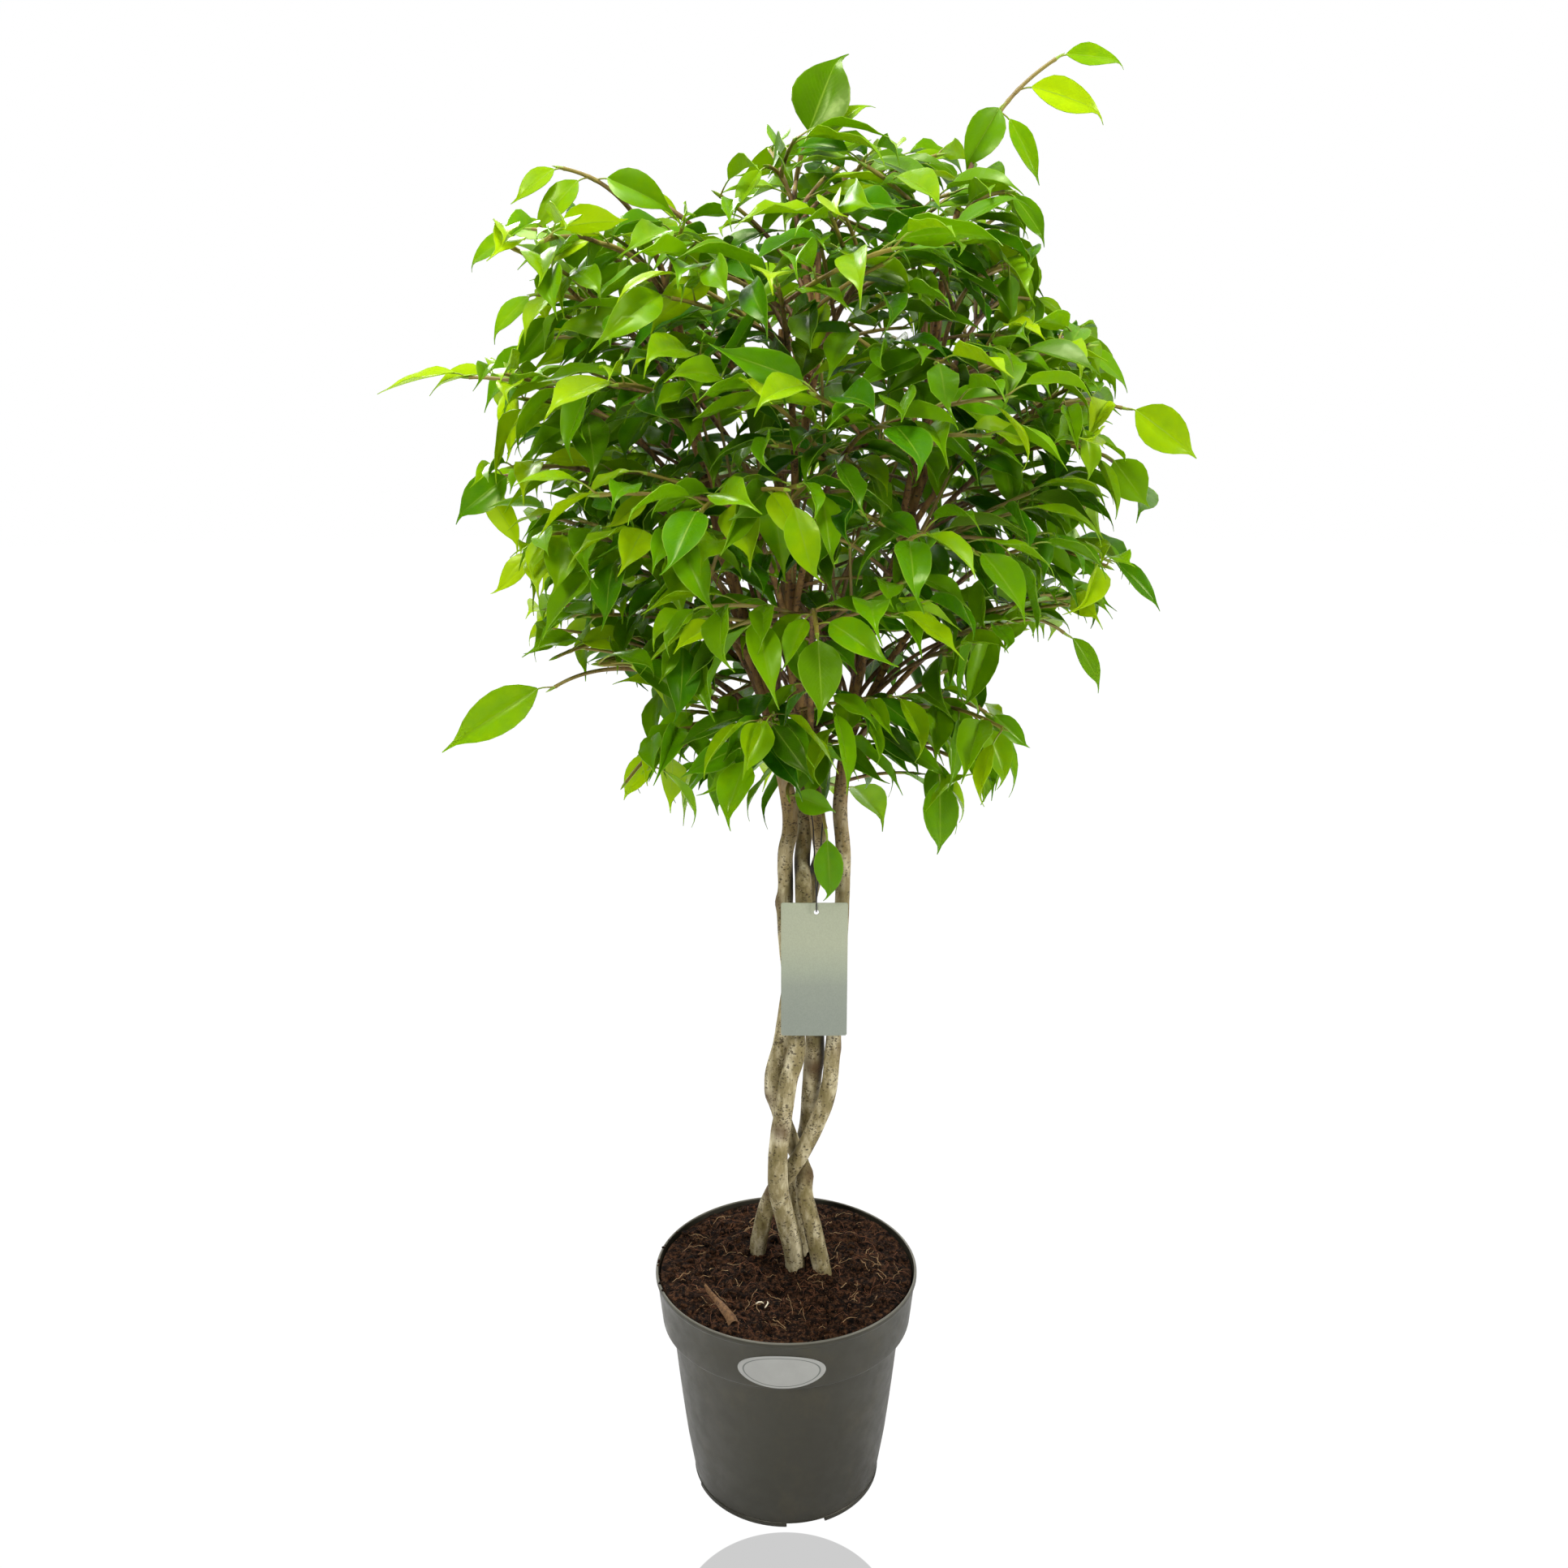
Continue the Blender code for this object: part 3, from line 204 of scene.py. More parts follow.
def sweep(name: str, lines: list[Line], rounds: int) -> bpy.types.Object:
    """Round closed tubes along several lines, from one bevelled curve.

    Args:
        name: the object's name.
        lines: the points of each tube, and its radius at each of them.
        rounds: the curve's bevel resolution; 0 gives 4 sides, and each step 2 more.

    Returns:
        The tubes as one mesh object.
    """
    curve = bpy.data.curves.new(name, "CURVE")
    curve.dimensions = "3D"
    curve.bevel_depth = MM
    curve.bevel_resolution = rounds
    curve.use_fill_caps = True
    for points, radii in lines:
        spline = curve.splines.new("POLY")
        spline.points.add(len(points) - 1)
        spline.points.foreach_set("co", np.c_[points, np.ones(len(points))].ravel())
        spline.points.foreach_set("radius", np.asarray(radii, float) / MM)
    obj = bpy.data.objects.new(name, curve)
    bpy.context.scene.collection.objects.link(obj)
    only(obj)
    bpy.ops.object.convert(target="MESH")
    obj = bpy.context.object
    obj.name = obj.data.name = name
    return obj


def turned(name: str, profile: list[tuple[float, float]], facets: int) -> bpy.types.Object:
    """A turned closed solid.

    Args:
        name: the object's name.
        profile: radius and height in mm, from the axis out and back to the axis.
        facets: how many steps go round.

    Returns:
        The solid, with its faces pointing outwards.
    """
    mesh = bpy.data.meshes.new(name)
    corners = [(r * MM, 0, z * MM) for r, z in profile]
    mesh.from_pydata(corners, [(i, i + 1) for i in range(len(profile) - 1)], [])
    obj = bpy.data.objects.new(name, mesh)
    bpy.context.scene.collection.objects.link(obj)
    apply_modifier(
        obj, "SCREW", steps=facets, render_steps=facets, use_merge_vertices=True, merge_threshold=0.00001
    )
    tidy_faces(obj)
    return obj


def cut(obj: bpy.types.Object, cutters: list[bpy.types.Object]) -> None:
    """Take cutters out of an object by one Boolean, and remove them."""
    group = bpy.data.collections.new("cutters")
    for cutter in cutters:
        group.objects.link(cutter)
    apply_modifier(
        obj, "BOOLEAN", operation="DIFFERENCE", operand_type="COLLECTION", collection=group, solver="EXACT"
    )
    for cutter in cutters:
        bpy.data.objects.remove(cutter)
    bpy.data.collections.remove(group)


def fuse(obj: bpy.types.Object, others: list[bpy.types.Object]) -> None:
    """Join closed objects into one by one Boolean, and remove them."""
    group = bpy.data.collections.new("joined")
    for other in others:
        group.objects.link(other)
    apply_modifier(
        obj, "BOOLEAN", operation="UNION", operand_type="COLLECTION", collection=group, solver="MANIFOLD"
    )
    for other in others:
        bpy.data.objects.remove(other)
    bpy.data.collections.remove(group)


def join(first: bpy.types.Object, others: list[bpy.types.Object]) -> bpy.types.Object:
    """Put several objects into the first one's mesh."""
    deselect_all()
    for obj in (first, *others):
        obj.select_set(True)
    bpy.context.view_layer.objects.active = first
    bpy.ops.object.join()
    return first


def place(obj: bpy.types.Object, slot: str, *nodes: str) -> bpy.types.Object:
    """Let a piece ride on the plant and stand for CAD nodes."""
    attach(obj, "root")
    if nodes:
        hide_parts(*nodes)
    faces = len(getattr(obj.data, "polygons", ()))
    LOG.info("%s: %d faces, for %s", obj.name, faces, ", ".join(nodes) or "itself")
    return obj


# Materials


def srgb(code: str) -> tuple[float, float, float, float]:
    """An sRGB hex colour as linear RGBA."""
    parts = [int(code[i : i + 2], 16) / 255 for i in (1, 3, 5)]
    return (*(p / 12.92 if p <= 0.04045 else ((p + 0.055) / 1.055) ** 2.4 for p in parts), 1.0)


def add_node(
    tree: bpy.types.NodeTree, kind: str, inputs: dict | None = None, **settings: object
) -> bpy.types.Node:
    """Add a node with its settings and links.

    Args:
        tree: the material's node tree.
        kind: the node's type.
        inputs: for each input, by name or number, a value or the output that feeds it.
        settings: the node's own properties.

    Returns:
        The node.
    """
    made = tree.nodes.new(kind)
    for key, value in settings.items():
        setattr(made, key, value)
    for key, value in (inputs or {}).items():
        if isinstance(value, bpy.types.NodeSocket):
            tree.links.new(value, made.inputs[key])
        else:
            made.inputs[key].default_value = value
    return made


def ramp(
    tree: bpy.types.NodeTree, source: bpy.types.NodeSocket, stops: dict[float, str]
) -> bpy.types.NodeSocket:
    """Colour that runs through sRGB stops as the source goes from 0 to 1."""
    made = add_node(tree, "ShaderNodeValToRGB", {"Fac": source})
    band = made.color_ramp
    while len(band.elements) < len(stops):
        band.elements.new(0.5)
    for element, (spot, code) in zip(band.elements, sorted(stops.items())):
        element.position = spot
        element.color = srgb(code)
    return made.outputs["Color"]


def blend(
    tree: bpy.types.NodeTree, factor: object, a: object, b: object, mode: str = "MIX"
) -> bpy.types.NodeSocket:
    """Two colours mixed by a factor."""
    made = add_node(tree, "ShaderNodeMix", data_type="RGBA", blend_type=mode)
    for index, value in ((0, factor), (6, a), (7, b)):
        if isinstance(value, bpy.types.NodeSocket):
            tree.links.new(value, made.inputs[index])
        else:
            made.inputs[index].default_value = value
    return made.outputs[2]


def span(
    tree: bpy.types.NodeTree, source: bpy.types.NodeSocket, low: float, high: float, to: tuple = (0.0, 1.0)
) -> bpy.types.NodeSocket:
    """A value from low to high brought to another range, smoothly and clamped."""
    made = add_node(
        tree,
        "ShaderNodeMapRange",
        {"Value": source, "From Min": low, "From Max": high, "To Min": to[0], "To Max": to[1]},
        interpolation_type="SMOOTHSTEP",
    )
    return made.outputs["Result"]


def sums(tree: bpy.types.NodeTree, operation: str, a: object, b: object = 0.0) -> bpy.types.NodeSocket:
    """One arithmetic step."""
    return add_node(tree, "ShaderNodeMath", {0: a, 1: b}, operation=operation).outputs[0]


def grain(
    tree: bpy.types.NodeTree,
    size_mm: float,
    stretch: tuple = (1.0, 1.0, 1.0),
    detail: float = 3.0,
    rough: float = 0.6,
) -> bpy.types.NodeSocket:
    """Noise on Object coordinates whose features are about size_mm across.

    Args:
        tree: the material's node tree.
        size_mm: the size of the features.
        stretch: how much longer they are along each axis.
        detail: octaves of finer noise.
        rough: how strong those are.

    Returns:
        The noise, from 0 to 1.
    """
    place_of = add_node(tree, "ShaderNodeTexCoord").outputs["Object"]
    scaled = add_node(tree, "ShaderNodeMapping", {"Vector": place_of, "Scale": [1 / s for s in stretch]})
    made = add_node(
        tree,
        "ShaderNodeTexNoise",
        {"Vector": scaled.outputs[0], "Scale": 1 / (size_mm * MM), "Detail": detail, "Roughness": rough},
    )
    return made.outputs["Fac"]


def height_of(tree: bpy.types.NodeTree) -> bpy.types.NodeSocket:
    """Height above the floor in metres."""
    place_of = add_node(tree, "ShaderNodeTexCoord").outputs["Object"]
    return add_node(tree, "ShaderNodeSeparateXYZ", {0: place_of}).outputs["Z"]


def stored(tree: bpy.types.NodeTree, name: str) -> bpy.types.NodeSocket:
    """A number that the mesh keeps for each vertex."""
    made = add_node(tree, "ShaderNodeAttribute", attribute_name=name, attribute_type="GEOMETRY")
    return made.outputs["Fac"]


def start(name: str) -> tuple[bpy.types.Material, bpy.types.NodeTree, bpy.types.Node]:
    """A new material with its tree and its Principled node."""
    material = bpy.data.materials.new(name)
    material.use_nodes = True
    return material, material.node_tree, material.node_tree.nodes["Principled BSDF"]


def relief(
    tree: bpy.types.NodeTree,
    shader: bpy.types.Node,
    height: bpy.types.NodeSocket,
    depth_mm: float,
    strength: float = 1.0,
) -> None:
    """Bump of a depth in millimetres on a shader."""
    settings = {"Height": height, "Strength": strength, "Distance": depth_mm * MM}
    made = add_node(tree, "ShaderNodeBump", settings)
    tree.links.new(made.outputs[0], shader.inputs["Normal"])


@dataclass(frozen=True)
class Polypropylene:
    """Injection-moulded PP nursery pot: satin dark grey, with flow marks, scuffs and a film of dust."""

    body: str = "#25241d"
    deep: str = "#23231b"
    dusty: str = "#3a3422"
    worn: str = "#7d7b70"
    roughness: tuple[float, float] = (0.42, 0.52)

    def make(self) -> bpy.types.Material:
        """Build the material: broad uneven grey, thin scuffs, patches of dust, pale worn lip."""
        material, tree, shader = start("moulded_polypropylene")
        height = height_of(tree)
        broad = grain(tree, 70, (1, 1, 2.2), 2)
        colour = blend(tree, span(tree, broad, 0.35, 0.68), srgb(self.deep), srgb(self.body))
        dust = sums(tree, "MULTIPLY", span(tree, grain(tree, 24, (1, 1, 1.6), 6, 0.7), 0.46, 0.72), 0.35)
        colour = blend(tree, dust, colour, srgb(self.dusty))
        # Scuffs are long and thin, about 0.4 mm wide and 25 mm long, running round the wall.
        scuff = span(tree, grain(tree, 1.1, (26, 26, 0.6), 2), 0.73, 0.80, (0.0, 0.30))
        patch = span(tree, grain(tree, 30, detail=1), 0.50, 0.62)
        colour = blend(tree, sums(tree, "MULTIPLY", scuff, patch), colour, srgb(self.worn))
        lip = span(tree, height, 0.1832, 0.1842, (0.0, 0.55))
        colour = blend(tree, lip, colour, srgb(self.worn))
        tree.links.new(colour, shader.inputs["Base Color"])
        rough = span(tree, grain(tree, 12, detail=5), 0.3, 0.7, self.roughness)
        tree.links.new(rough, shader.inputs["Roughness"])
        shader.inputs["Specular IOR Level"].default_value = 0.40
        shader.inputs["Specular Tint"].default_value = srgb("#fff8e6")
        # The mould's spark finish is finer than a pixel, so it is drawn at 0.6 mm.
        relief(tree, shader, grain(tree, 0.6, detail=2), 0.05, 0.5)
        return material


@dataclass(frozen=True)
class Peat:
    """Peat and coir potting mix: matt, painted almost black in the hollows as shade, red-brown on its dry
    crumbs.
    """

    hollow_shade: str = "#040201"
    damp: str = "#211208"
    dry: str = "#543723"
    fleck: str = "#8f7050"

    def make(self) -> bpy.types.Material:
        """Build the material: crumb colours at 3 mm, dry patches at 25 mm, pale flecks."""
        material, tree, shader = start("peat_potting_mix")
        crumb = grain(tree, 3.6, detail=6, rough=0.72)
        # The low parts of the crumb relief are painted near black: painted shade in the hollows.
        colour = ramp(tree, crumb, {0.40: self.hollow_shade, 0.50: self.damp, 0.62: self.dry})
        dry = span(tree, grain(tree, 20, detail=4), 0.50, 0.66, (0.0, 0.40))
        dry_crumb = sums(tree, "MULTIPLY", dry, span(tree, crumb, 0.42, 0.56))
        colour = blend(tree, dry_crumb, colour, srgb(self.dry))
        fleck = span(tree, grain(tree, 1.2, (1.8, 0.6, 1), 2), 0.64, 0.72, (0.0, 0.8))
        colour = blend(tree, fleck, colour, srgb(self.fleck))
        tree.links.new(colour, shader.inputs["Base Color"])
        shader.inputs["Roughness"].default_value = 0.95
        shader.inputs["Specular IOR Level"].default_value = 0.12
        relief(tree, shader, crumb, 3.0, 1.0)
        return material


@dataclass(frozen=True)
class FigBark:
    """Young fig bark: thin, smooth, pale olive grey, dotted with dark corky lenticels."""

    pale: str = "#d2c7a4"
    plain: str = "#8e815a"
    olive: str = "#75693f"
    brown: str = "#3b2c15"
    lenticel: str = "#3a2e1e"
    # The colour of the painted shade where strands touch.
    crevice: str = "#241c0e"
    knot: str = "#4e351b"
    limb: str = "#9a7440"
    limb_dark: str = "#5c3f20"

    def specks(self, tree: bpy.types.NodeTree, apart_mm: float, size: float) -> bpy.types.NodeSocket:
        """Rough-edged dots at a spacing, each a share of it across its radius."""
        place_of = add_node(tree, "ShaderNodeTexCoord").outputs["Object"]
        scaled = add_node(tree, "ShaderNodeMapping", {"Vector": place_of, "Scale": (1.0, 1.0, 1.6)})
        spacing = {"Vector": scaled.outputs[0], "Scale": 1 / (apart_mm * MM)}
        dots = add_node(tree, "ShaderNodeTexVoronoi", spacing)
        rough = sums(tree, "MULTIPLY", sums(tree, "SUBTRACT", grain(tree, 1.5, detail=4), 0.5), 0.9)
        uneven = sums(tree, "ADD", dots.outputs["Distance"], rough)
        return span(tree, uneven, size - 0.16, size, (0.8, 0.0))

    def make(self) -> bpy.types.Material:
        """Build the material: blotches, streaks along the stem, lenticels, browner wood in the crown."""
        material, tree, shader = start("fig_bark")
        height = height_of(tree)
        blotch = grain(tree, 11, (1, 1, 2.6), 5, 0.62)
        colour = ramp(tree, blotch, {0.24: self.brown, 0.36: self.olive, 0.47: self.plain, 0.66: self.pale})
        streak = span(tree, grain(tree, 2.2, (1, 1, 9), 3), 0.50, 0.70, (0.0, 0.45))
        colour = blend(tree, streak, colour, srgb(self.olive))
        upper = span(tree, height, 0.480, 0.640)
        wood = ramp(tree, grain(tree, 5, (1, 1, 6), 4), {0.32: self.limb_dark, 0.62: self.limb})
        colour = blend(tree, upper, colour, wood)
        # Lenticels are 1 to 2 mm across, a little wider than high, 3 to 6 mm apart, in drifts.
        drift = span(tree, grain(tree, 12, detail=2), 0.44, 0.56)
        big = sums(tree, "MULTIPLY", self.specks(tree, 4.2, 0.38), drift)
        drift = span(tree, grain(tree, 9, detail=3), 0.46, 0.60)
        small = sums(tree, "MULTIPLY", self.specks(tree, 2.1, 0.44), drift)
        dot = sums(tree, "MAXIMUM", big, small)
        colour = blend(tree, dot, colour, srgb(self.lenticel))
        # Painted shade darkens the bark where strands touch.
        crevice_shade_mask = span(tree, stored(tree, "crevice"), 0.02, 0.75, (0.0, 0.92))
        colour = blend(tree, crevice_shade_mask, colour, srgb(self.crevice))
        # Calluses are browner and rougher.
        knot = stored(tree, "callus")
        colour = blend(tree, sums(tree, "MULTIPLY", knot, 0.85), colour, srgb(self.knot))
        tree.links.new(colour, shader.inputs["Base Color"])
        shader.inputs["Roughness"].default_value = 0.72
        shader.inputs["Specular IOR Level"].default_value = 0.35
        bumps = sums(tree, "ADD", grain(tree, 1.6, (1, 1, 3), 5, 0.7), dot)
        relief(tree, shader, bumps, 0.40, 0.9)
        return material


@dataclass(frozen=True)
class TwigBark:
    """Shoots of this and last year: red-brown wood that turns green towards leaf stalks and tips."""

    wood: str = "#876038"
    wood_dark: str = "#4f371e"
    shoot: str = "#87792c"
    stalk: str = "#86a522"

    def make(self) -> bpy.types.Material:
        """Build the material: colour by youth, fine streaks along the wood."""
        material, tree, shader = start("young_fig_wood")
        streak = grain(tree, 2.0, (1, 1, 3), 4)
        wood = ramp(tree, streak, {0.35: self.wood_dark, 0.65: self.wood})
        youth = stored(tree, "youth")
        colour = blend(tree, span(tree, youth, 0.15, 0.60), wood, srgb(self.shoot))
        colour = blend(tree, span(tree, youth, 0.65, 0.95), colour, srgb(self.stalk))
        tree.links.new(colour, shader.inputs["Base Color"])
        shader.inputs["Roughness"].default_value = 0.55
        relief(tree, shader, grain(tree, 1.0, (1, 1, 3), 3), 0.12, 0.6)
        return material


class BladeSide(Enum):
    """The two faces of a leaf."""

    UPPER = "upper"
    LOWER = "lower"


@dataclass(frozen=True)
class FigLeaf:
    """Fig leaf blade: glossy above, duller and paler below, and it lets yellow-green light through."""

    side: BladeSide
    young: str
    grown: str
    old: str
    shaded: str
    through: str
    through_old: str
    vein: str
    roughness: float
    passes: float

    def make(self) -> bpy.types.Material:
        """Build the material from the blade's own map, each leaf's age with its painted shade, and its tone.
        """
        material, tree, shader = start("fig_leaf_" + self.side.value)
        age, tone = stored(tree, "age"), stored(tree, "tone")
        across_map = add_node(tree, "ShaderNodeUVMap", uv_map="blade").outputs[0]
        parts = add_node(tree, "ShaderNodeSeparateXYZ", {0: across_map}).outputs
        off = sums(tree, "ABSOLUTE", sums(tree, "SUBTRACT", parts["X"], 0.5))
        along = parts["Y"]
        mottle = grain(tree, 9, detail=3)
        mixed = sums(tree, "ADD", age, sums(tree, "MULTIPLY", sums(tree, "SUBTRACT", mottle, 0.5), 0.30))
        # Old and inner leaves run towards the shaded colour: painted shade inside the crown, on top of real
        # age.
        stops = {0.0: self.young, 0.36: self.grown, 0.70: self.old, 1.0: self.shaded}
        colour = ramp(tree, mixed, stops)
        colour = blend(tree, span(tree, tone, 0.0, 1.0, (0.0, 0.22)), colour, srgb(self.young))
        # The midrib is about 0.8 mm wide at the stalk; side veins leave it every 3 mm at 60 degrees.
        narrowing = sums(tree, "MULTIPLY", along, 0.012)
        midrib = span(tree, sums(tree, "ADD", off, narrowing), 0.010, 0.030, (1.0, 0.0))
        rows = sums(tree, "SUBTRACT", sums(tree, "MULTIPLY", along, 17.0), sums(tree, "MULTIPLY", off, 11.0))
        saw = sums(tree, "ABSOLUTE", sums(tree, "SUBTRACT", sums(tree, "FRACT", rows), 0.5))
        fading = span(tree, off, 0.10, 0.48, (0.20, 0.06))
        veins = sums(tree, "MULTIPLY", span(tree, saw, 0.0, 0.16, (1.0, 0.0)), fading)
        margin = span(tree, off, 0.465, 0.497, (0.0, 0.5))
        ribs = sums(tree, "MAXIMUM", sums(tree, "MULTIPLY", midrib, 0.75), veins)
        lines = sums(tree, "MAXIMUM", ribs, margin)
        colour = blend(tree, lines, colour, srgb(self.vein))
        tree.links.new(colour, shader.inputs["Base Color"])
        gloss = span(tree, mottle, 0.35, 0.65, (self.roughness - 0.05, self.roughness + 0.09))
        tree.links.new(gloss, shader.inputs["Roughness"])
        shader.inputs["Specular IOR Level"].default_value = 0.26
        shader.inputs["Specular Tint"].default_value = srgb("#f4ffb0")
        light = ramp(tree, mixed, {0.1: self.through, 0.95: self.through_old})
        light = blend(tree, sums(tree, "MULTIPLY", lines, 0.45), light, srgb(self.grown))
        glow = add_node(tree, "ShaderNodeBsdfTranslucent", {"Color": light})
        sheet = {0: self.passes, 1: shader.outputs[0], 2: glow.outputs[0]}
        both = add_node(tree, "ShaderNodeMixShader", sheet)
        tree.links.new(both.outputs[0], tree.nodes["Material Output"].inputs["Surface"])
        return material


UPPER_FACE = FigLeaf(
    BladeSide.UPPER, "#b0cc08", "#659f02", "#347803", "#1b4c03", "#d8ee14", "#68a804", "#9cbc38", 0.26, 0.38
)
LOWER_FACE = FigLeaf(
    BladeSide.LOWER, "#b0c81e", "#78a416", "#528412", "#36620f", "#d8ee14", "#68a804", "#a8c24c", 0.44, 0.38
)


@dataclass(frozen=True)
class PlainStock:
    """A matt stock of one colour with a fibre grain: paper card, dry leaf, root or coir."""

    name: str
    light: str
    dark: str
    grain_mm: float
    roughness: float
    depth_mm: float
    stretch: tuple[float, float, float] = (1.0, 1.0, 1.0)

    def make(self) -> bpy.types.Material:
        """Build the material: two shades of the stock at the size of its grain."""
        material, tree, shader = start(self.name)
        shades = grain(tree, self.grain_mm, self.stretch, 5, 0.65)
        colour = ramp(tree, shades, {0.32: self.dark, 0.66: self.light})
        tree.links.new(colour, shader.inputs["Base Color"])
        shader.inputs["Roughness"].default_value = self.roughness
        relief(tree, shader, shades, self.depth_mm, 0.8)
        return material


PALE_ROOT = PlainStock("pale_root", "#b8986a", "#7a5836", 3.0, 0.8, 0.1)
WHITE_ROOT = PlainStock("white_root_tip", "#efe6cf", "#cdbb96", 3.0, 0.7, 0.1)
COIR = PlainStock("coir_fibre", "#85522f", "#452616", 4.0, 0.9, 0.1)
DRY_LEAF = PlainStock("dry_bark_flake", "#84603a", "#3a2415", 2.0, 0.85, 0.5, (1.0, 1.0, 3.0))
STRING = PlainStock("waxed_cotton_string", "#2e2b28", "#141312", 0.5, 0.8, 0.1)


@dataclass(frozen=True)
class PrintedCard:
    """Uncoated 0.8 mm card with a soft printed wash: warm grey-green above, cooler grey below."""

    top: str = "#9ca089"
    middle: str = "#929885"
    low: str = "#858b7e"
    foot: str = "#80867b"
    z_range: tuple[float, float] = (0.3935, 0.4985)

    def make(self) -> bpy.types.Material:
        """Build the material: a vertical wash with an uneven edge, and the card's fibre."""
        material, tree, shader = start("printed_card")
        level = span(tree, height_of(tree), *self.z_range)
        uneven = sums(tree, "MULTIPLY", sums(tree, "SUBTRACT", grain(tree, 22, detail=2), 0.5), 0.16)
        stops = {0.06: self.foot, 0.30: self.low, 0.50: self.middle, 0.78: self.top}
        colour = ramp(tree, sums(tree, "ADD", level, uneven), stops)
        fibre = grain(tree, 0.9, (1, 1, 1.4), 3)
        colour = blend(tree, 0.10, colour, ramp(tree, fibre, {0.3: "#7c8577", 0.7: "#f2f4ea"}), "OVERLAY")
        tree.links.new(colour, shader.inputs["Base Color"])
        shader.inputs["Roughness"].default_value = 0.62
        relief(tree, shader, fibre, 0.03, 0.5)
        return material


@dataclass(frozen=True)
class FoilPaper:
    """Silver-grey label paper with a satin varnish and one thin printed oval line."""

    ground: str = "#979792"
    shadow: str = "#868681"
    ink: str = "#50534f"

    def make(self) -> bpy.types.Material:
        """Build the material: the line follows the label's own map, where its edge lies at 1."""
        material, tree, shader = start("label_paper")
        oval_map = add_node(tree, "ShaderNodeUVMap", uv_map="oval").outputs[0]
        away = add_node(tree, "ShaderNodeVectorMath", {0: oval_map, 1: (0.5, 0.5, 0.0)}, operation="DISTANCE")
        edge = sums(tree, "MULTIPLY", away.outputs["Value"], 2.0)
        from_line = sums(tree, "ABSOLUTE", sums(tree, "SUBTRACT", edge, 0.865))
        ring = span(tree, from_line, 0.010, 0.026, (0.95, 0.0))
        ground = blend(tree, grain(tree, 14, detail=2), srgb(self.ground), srgb(self.shadow))
        tree.links.new(blend(tree, ring, ground, srgb(self.ink)), shader.inputs["Base Color"])
        shader.inputs["Roughness"].default_value = 0.38
        relief(tree, shader, grain(tree, 1.2), 0.02, 0.4)
        return material


# The pot, the soil and what lies on it


@dataclass
class NurseryPot:
    """Thin-walled moulded pot with a stepped collar, a rolled lip, a notched foot ring and drainage holes."""

    facets: int = 128
    notch_width: float = 0.031
    notch_height: float = 0.0040
    notches: int = 4
    drain_holes: int = 6
    drain_radius: float = 0.0050
    drain_circle: float = 0.045

    def profile(self) -> list[tuple[float, float]]:
        """The wall's section in mm: pad and foot, outside up to the lip, inside down to the floor."""
        foot = [(0.0, 0.0), (13.2, 0.0), (14.0, 0.5), (15.0, 4.2), (67.0, 4.2), (67.7, 0.5), (68.4, 0.0)]
        base = [(74.4, 0.0), (75.3, 0.25), (75.9, 0.9), (76.05, 2.2), (76.0, 4.2), (75.55, 4.7), (75.75, 5.8)]
        wall = [(78.6, 23.0), (81.6, 41.8), (84.3, 64.0), (87.2, 90.0), (90.0, 118.0), (91.7, 134.5)]
        ledge = [(92.0, 136.8), (92.7, 138.2), (96.4, 140.7), (98.9, 142.3), (99.7, 143.2), (100.0, 144.4)]
        collar = [(101.2, 155.5), (102.5, 168.0), (103.5, 178.6), (103.9, 179.8)]
        collar += [(104.7, 180.4), (105.0, 181.1)]
        lip = [(105.0, 183.2), (104.75, 184.0), (104.2, 184.5), (103.5, 184.5)]
        lip += [(103.1, 184.2), (102.9, 183.4)]
        inside = [(102.2, 179.8), (98.6, 144.8), (90.6, 138.2), (82.4, 59.0)]
        inside += [(74.4, 6.6), (73.6, 5.8), (0.0, 5.8)]
        return foot + base + wall + ledge + collar + lip + inside

    def build(self, finish: Polypropylene) -> bpy.types.Object:
        """Turn the wall, cut the notches and holes, and dress the pot.

        Args:
            finish: the pot's plastic.

        Returns:
            The pot.
        """
        pot = turned("nursery_pot", self.profile()[::-1], self.facets)
        cutters = []
        for k in range(self.notches):
            angle = math.radians(-78 + 360 / self.notches * k)
            spot = (0.072 * math.cos(angle), 0.072 * math.sin(angle), 0)
            bpy.ops.mesh.primitive_cube_add(size=1, location=spot, rotation=(0, 0, angle))
            bpy.context.object.scale = (0.018, self.notch_width, 2 * self.notch_height)
            cutters.append(bpy.context.object)
        for k in range(self.drain_holes):
            angle = 2 * math.pi * (k + 0.5) / self.drain_holes
            spot = (self.drain_circle * math.cos(angle), self.drain_circle * math.sin(angle), 0.005)
            bpy.ops.mesh.primitive_cylinder_add(
                vertices=24, radius=self.drain_radius, depth=0.02, location=spot
            )
            cutters.append(bpy.context.object)
        cut(pot, cutters)
        shade(pot, 38)
        dress(pot, finish.make())
        return place(pot, "pot_plastic", "pot")


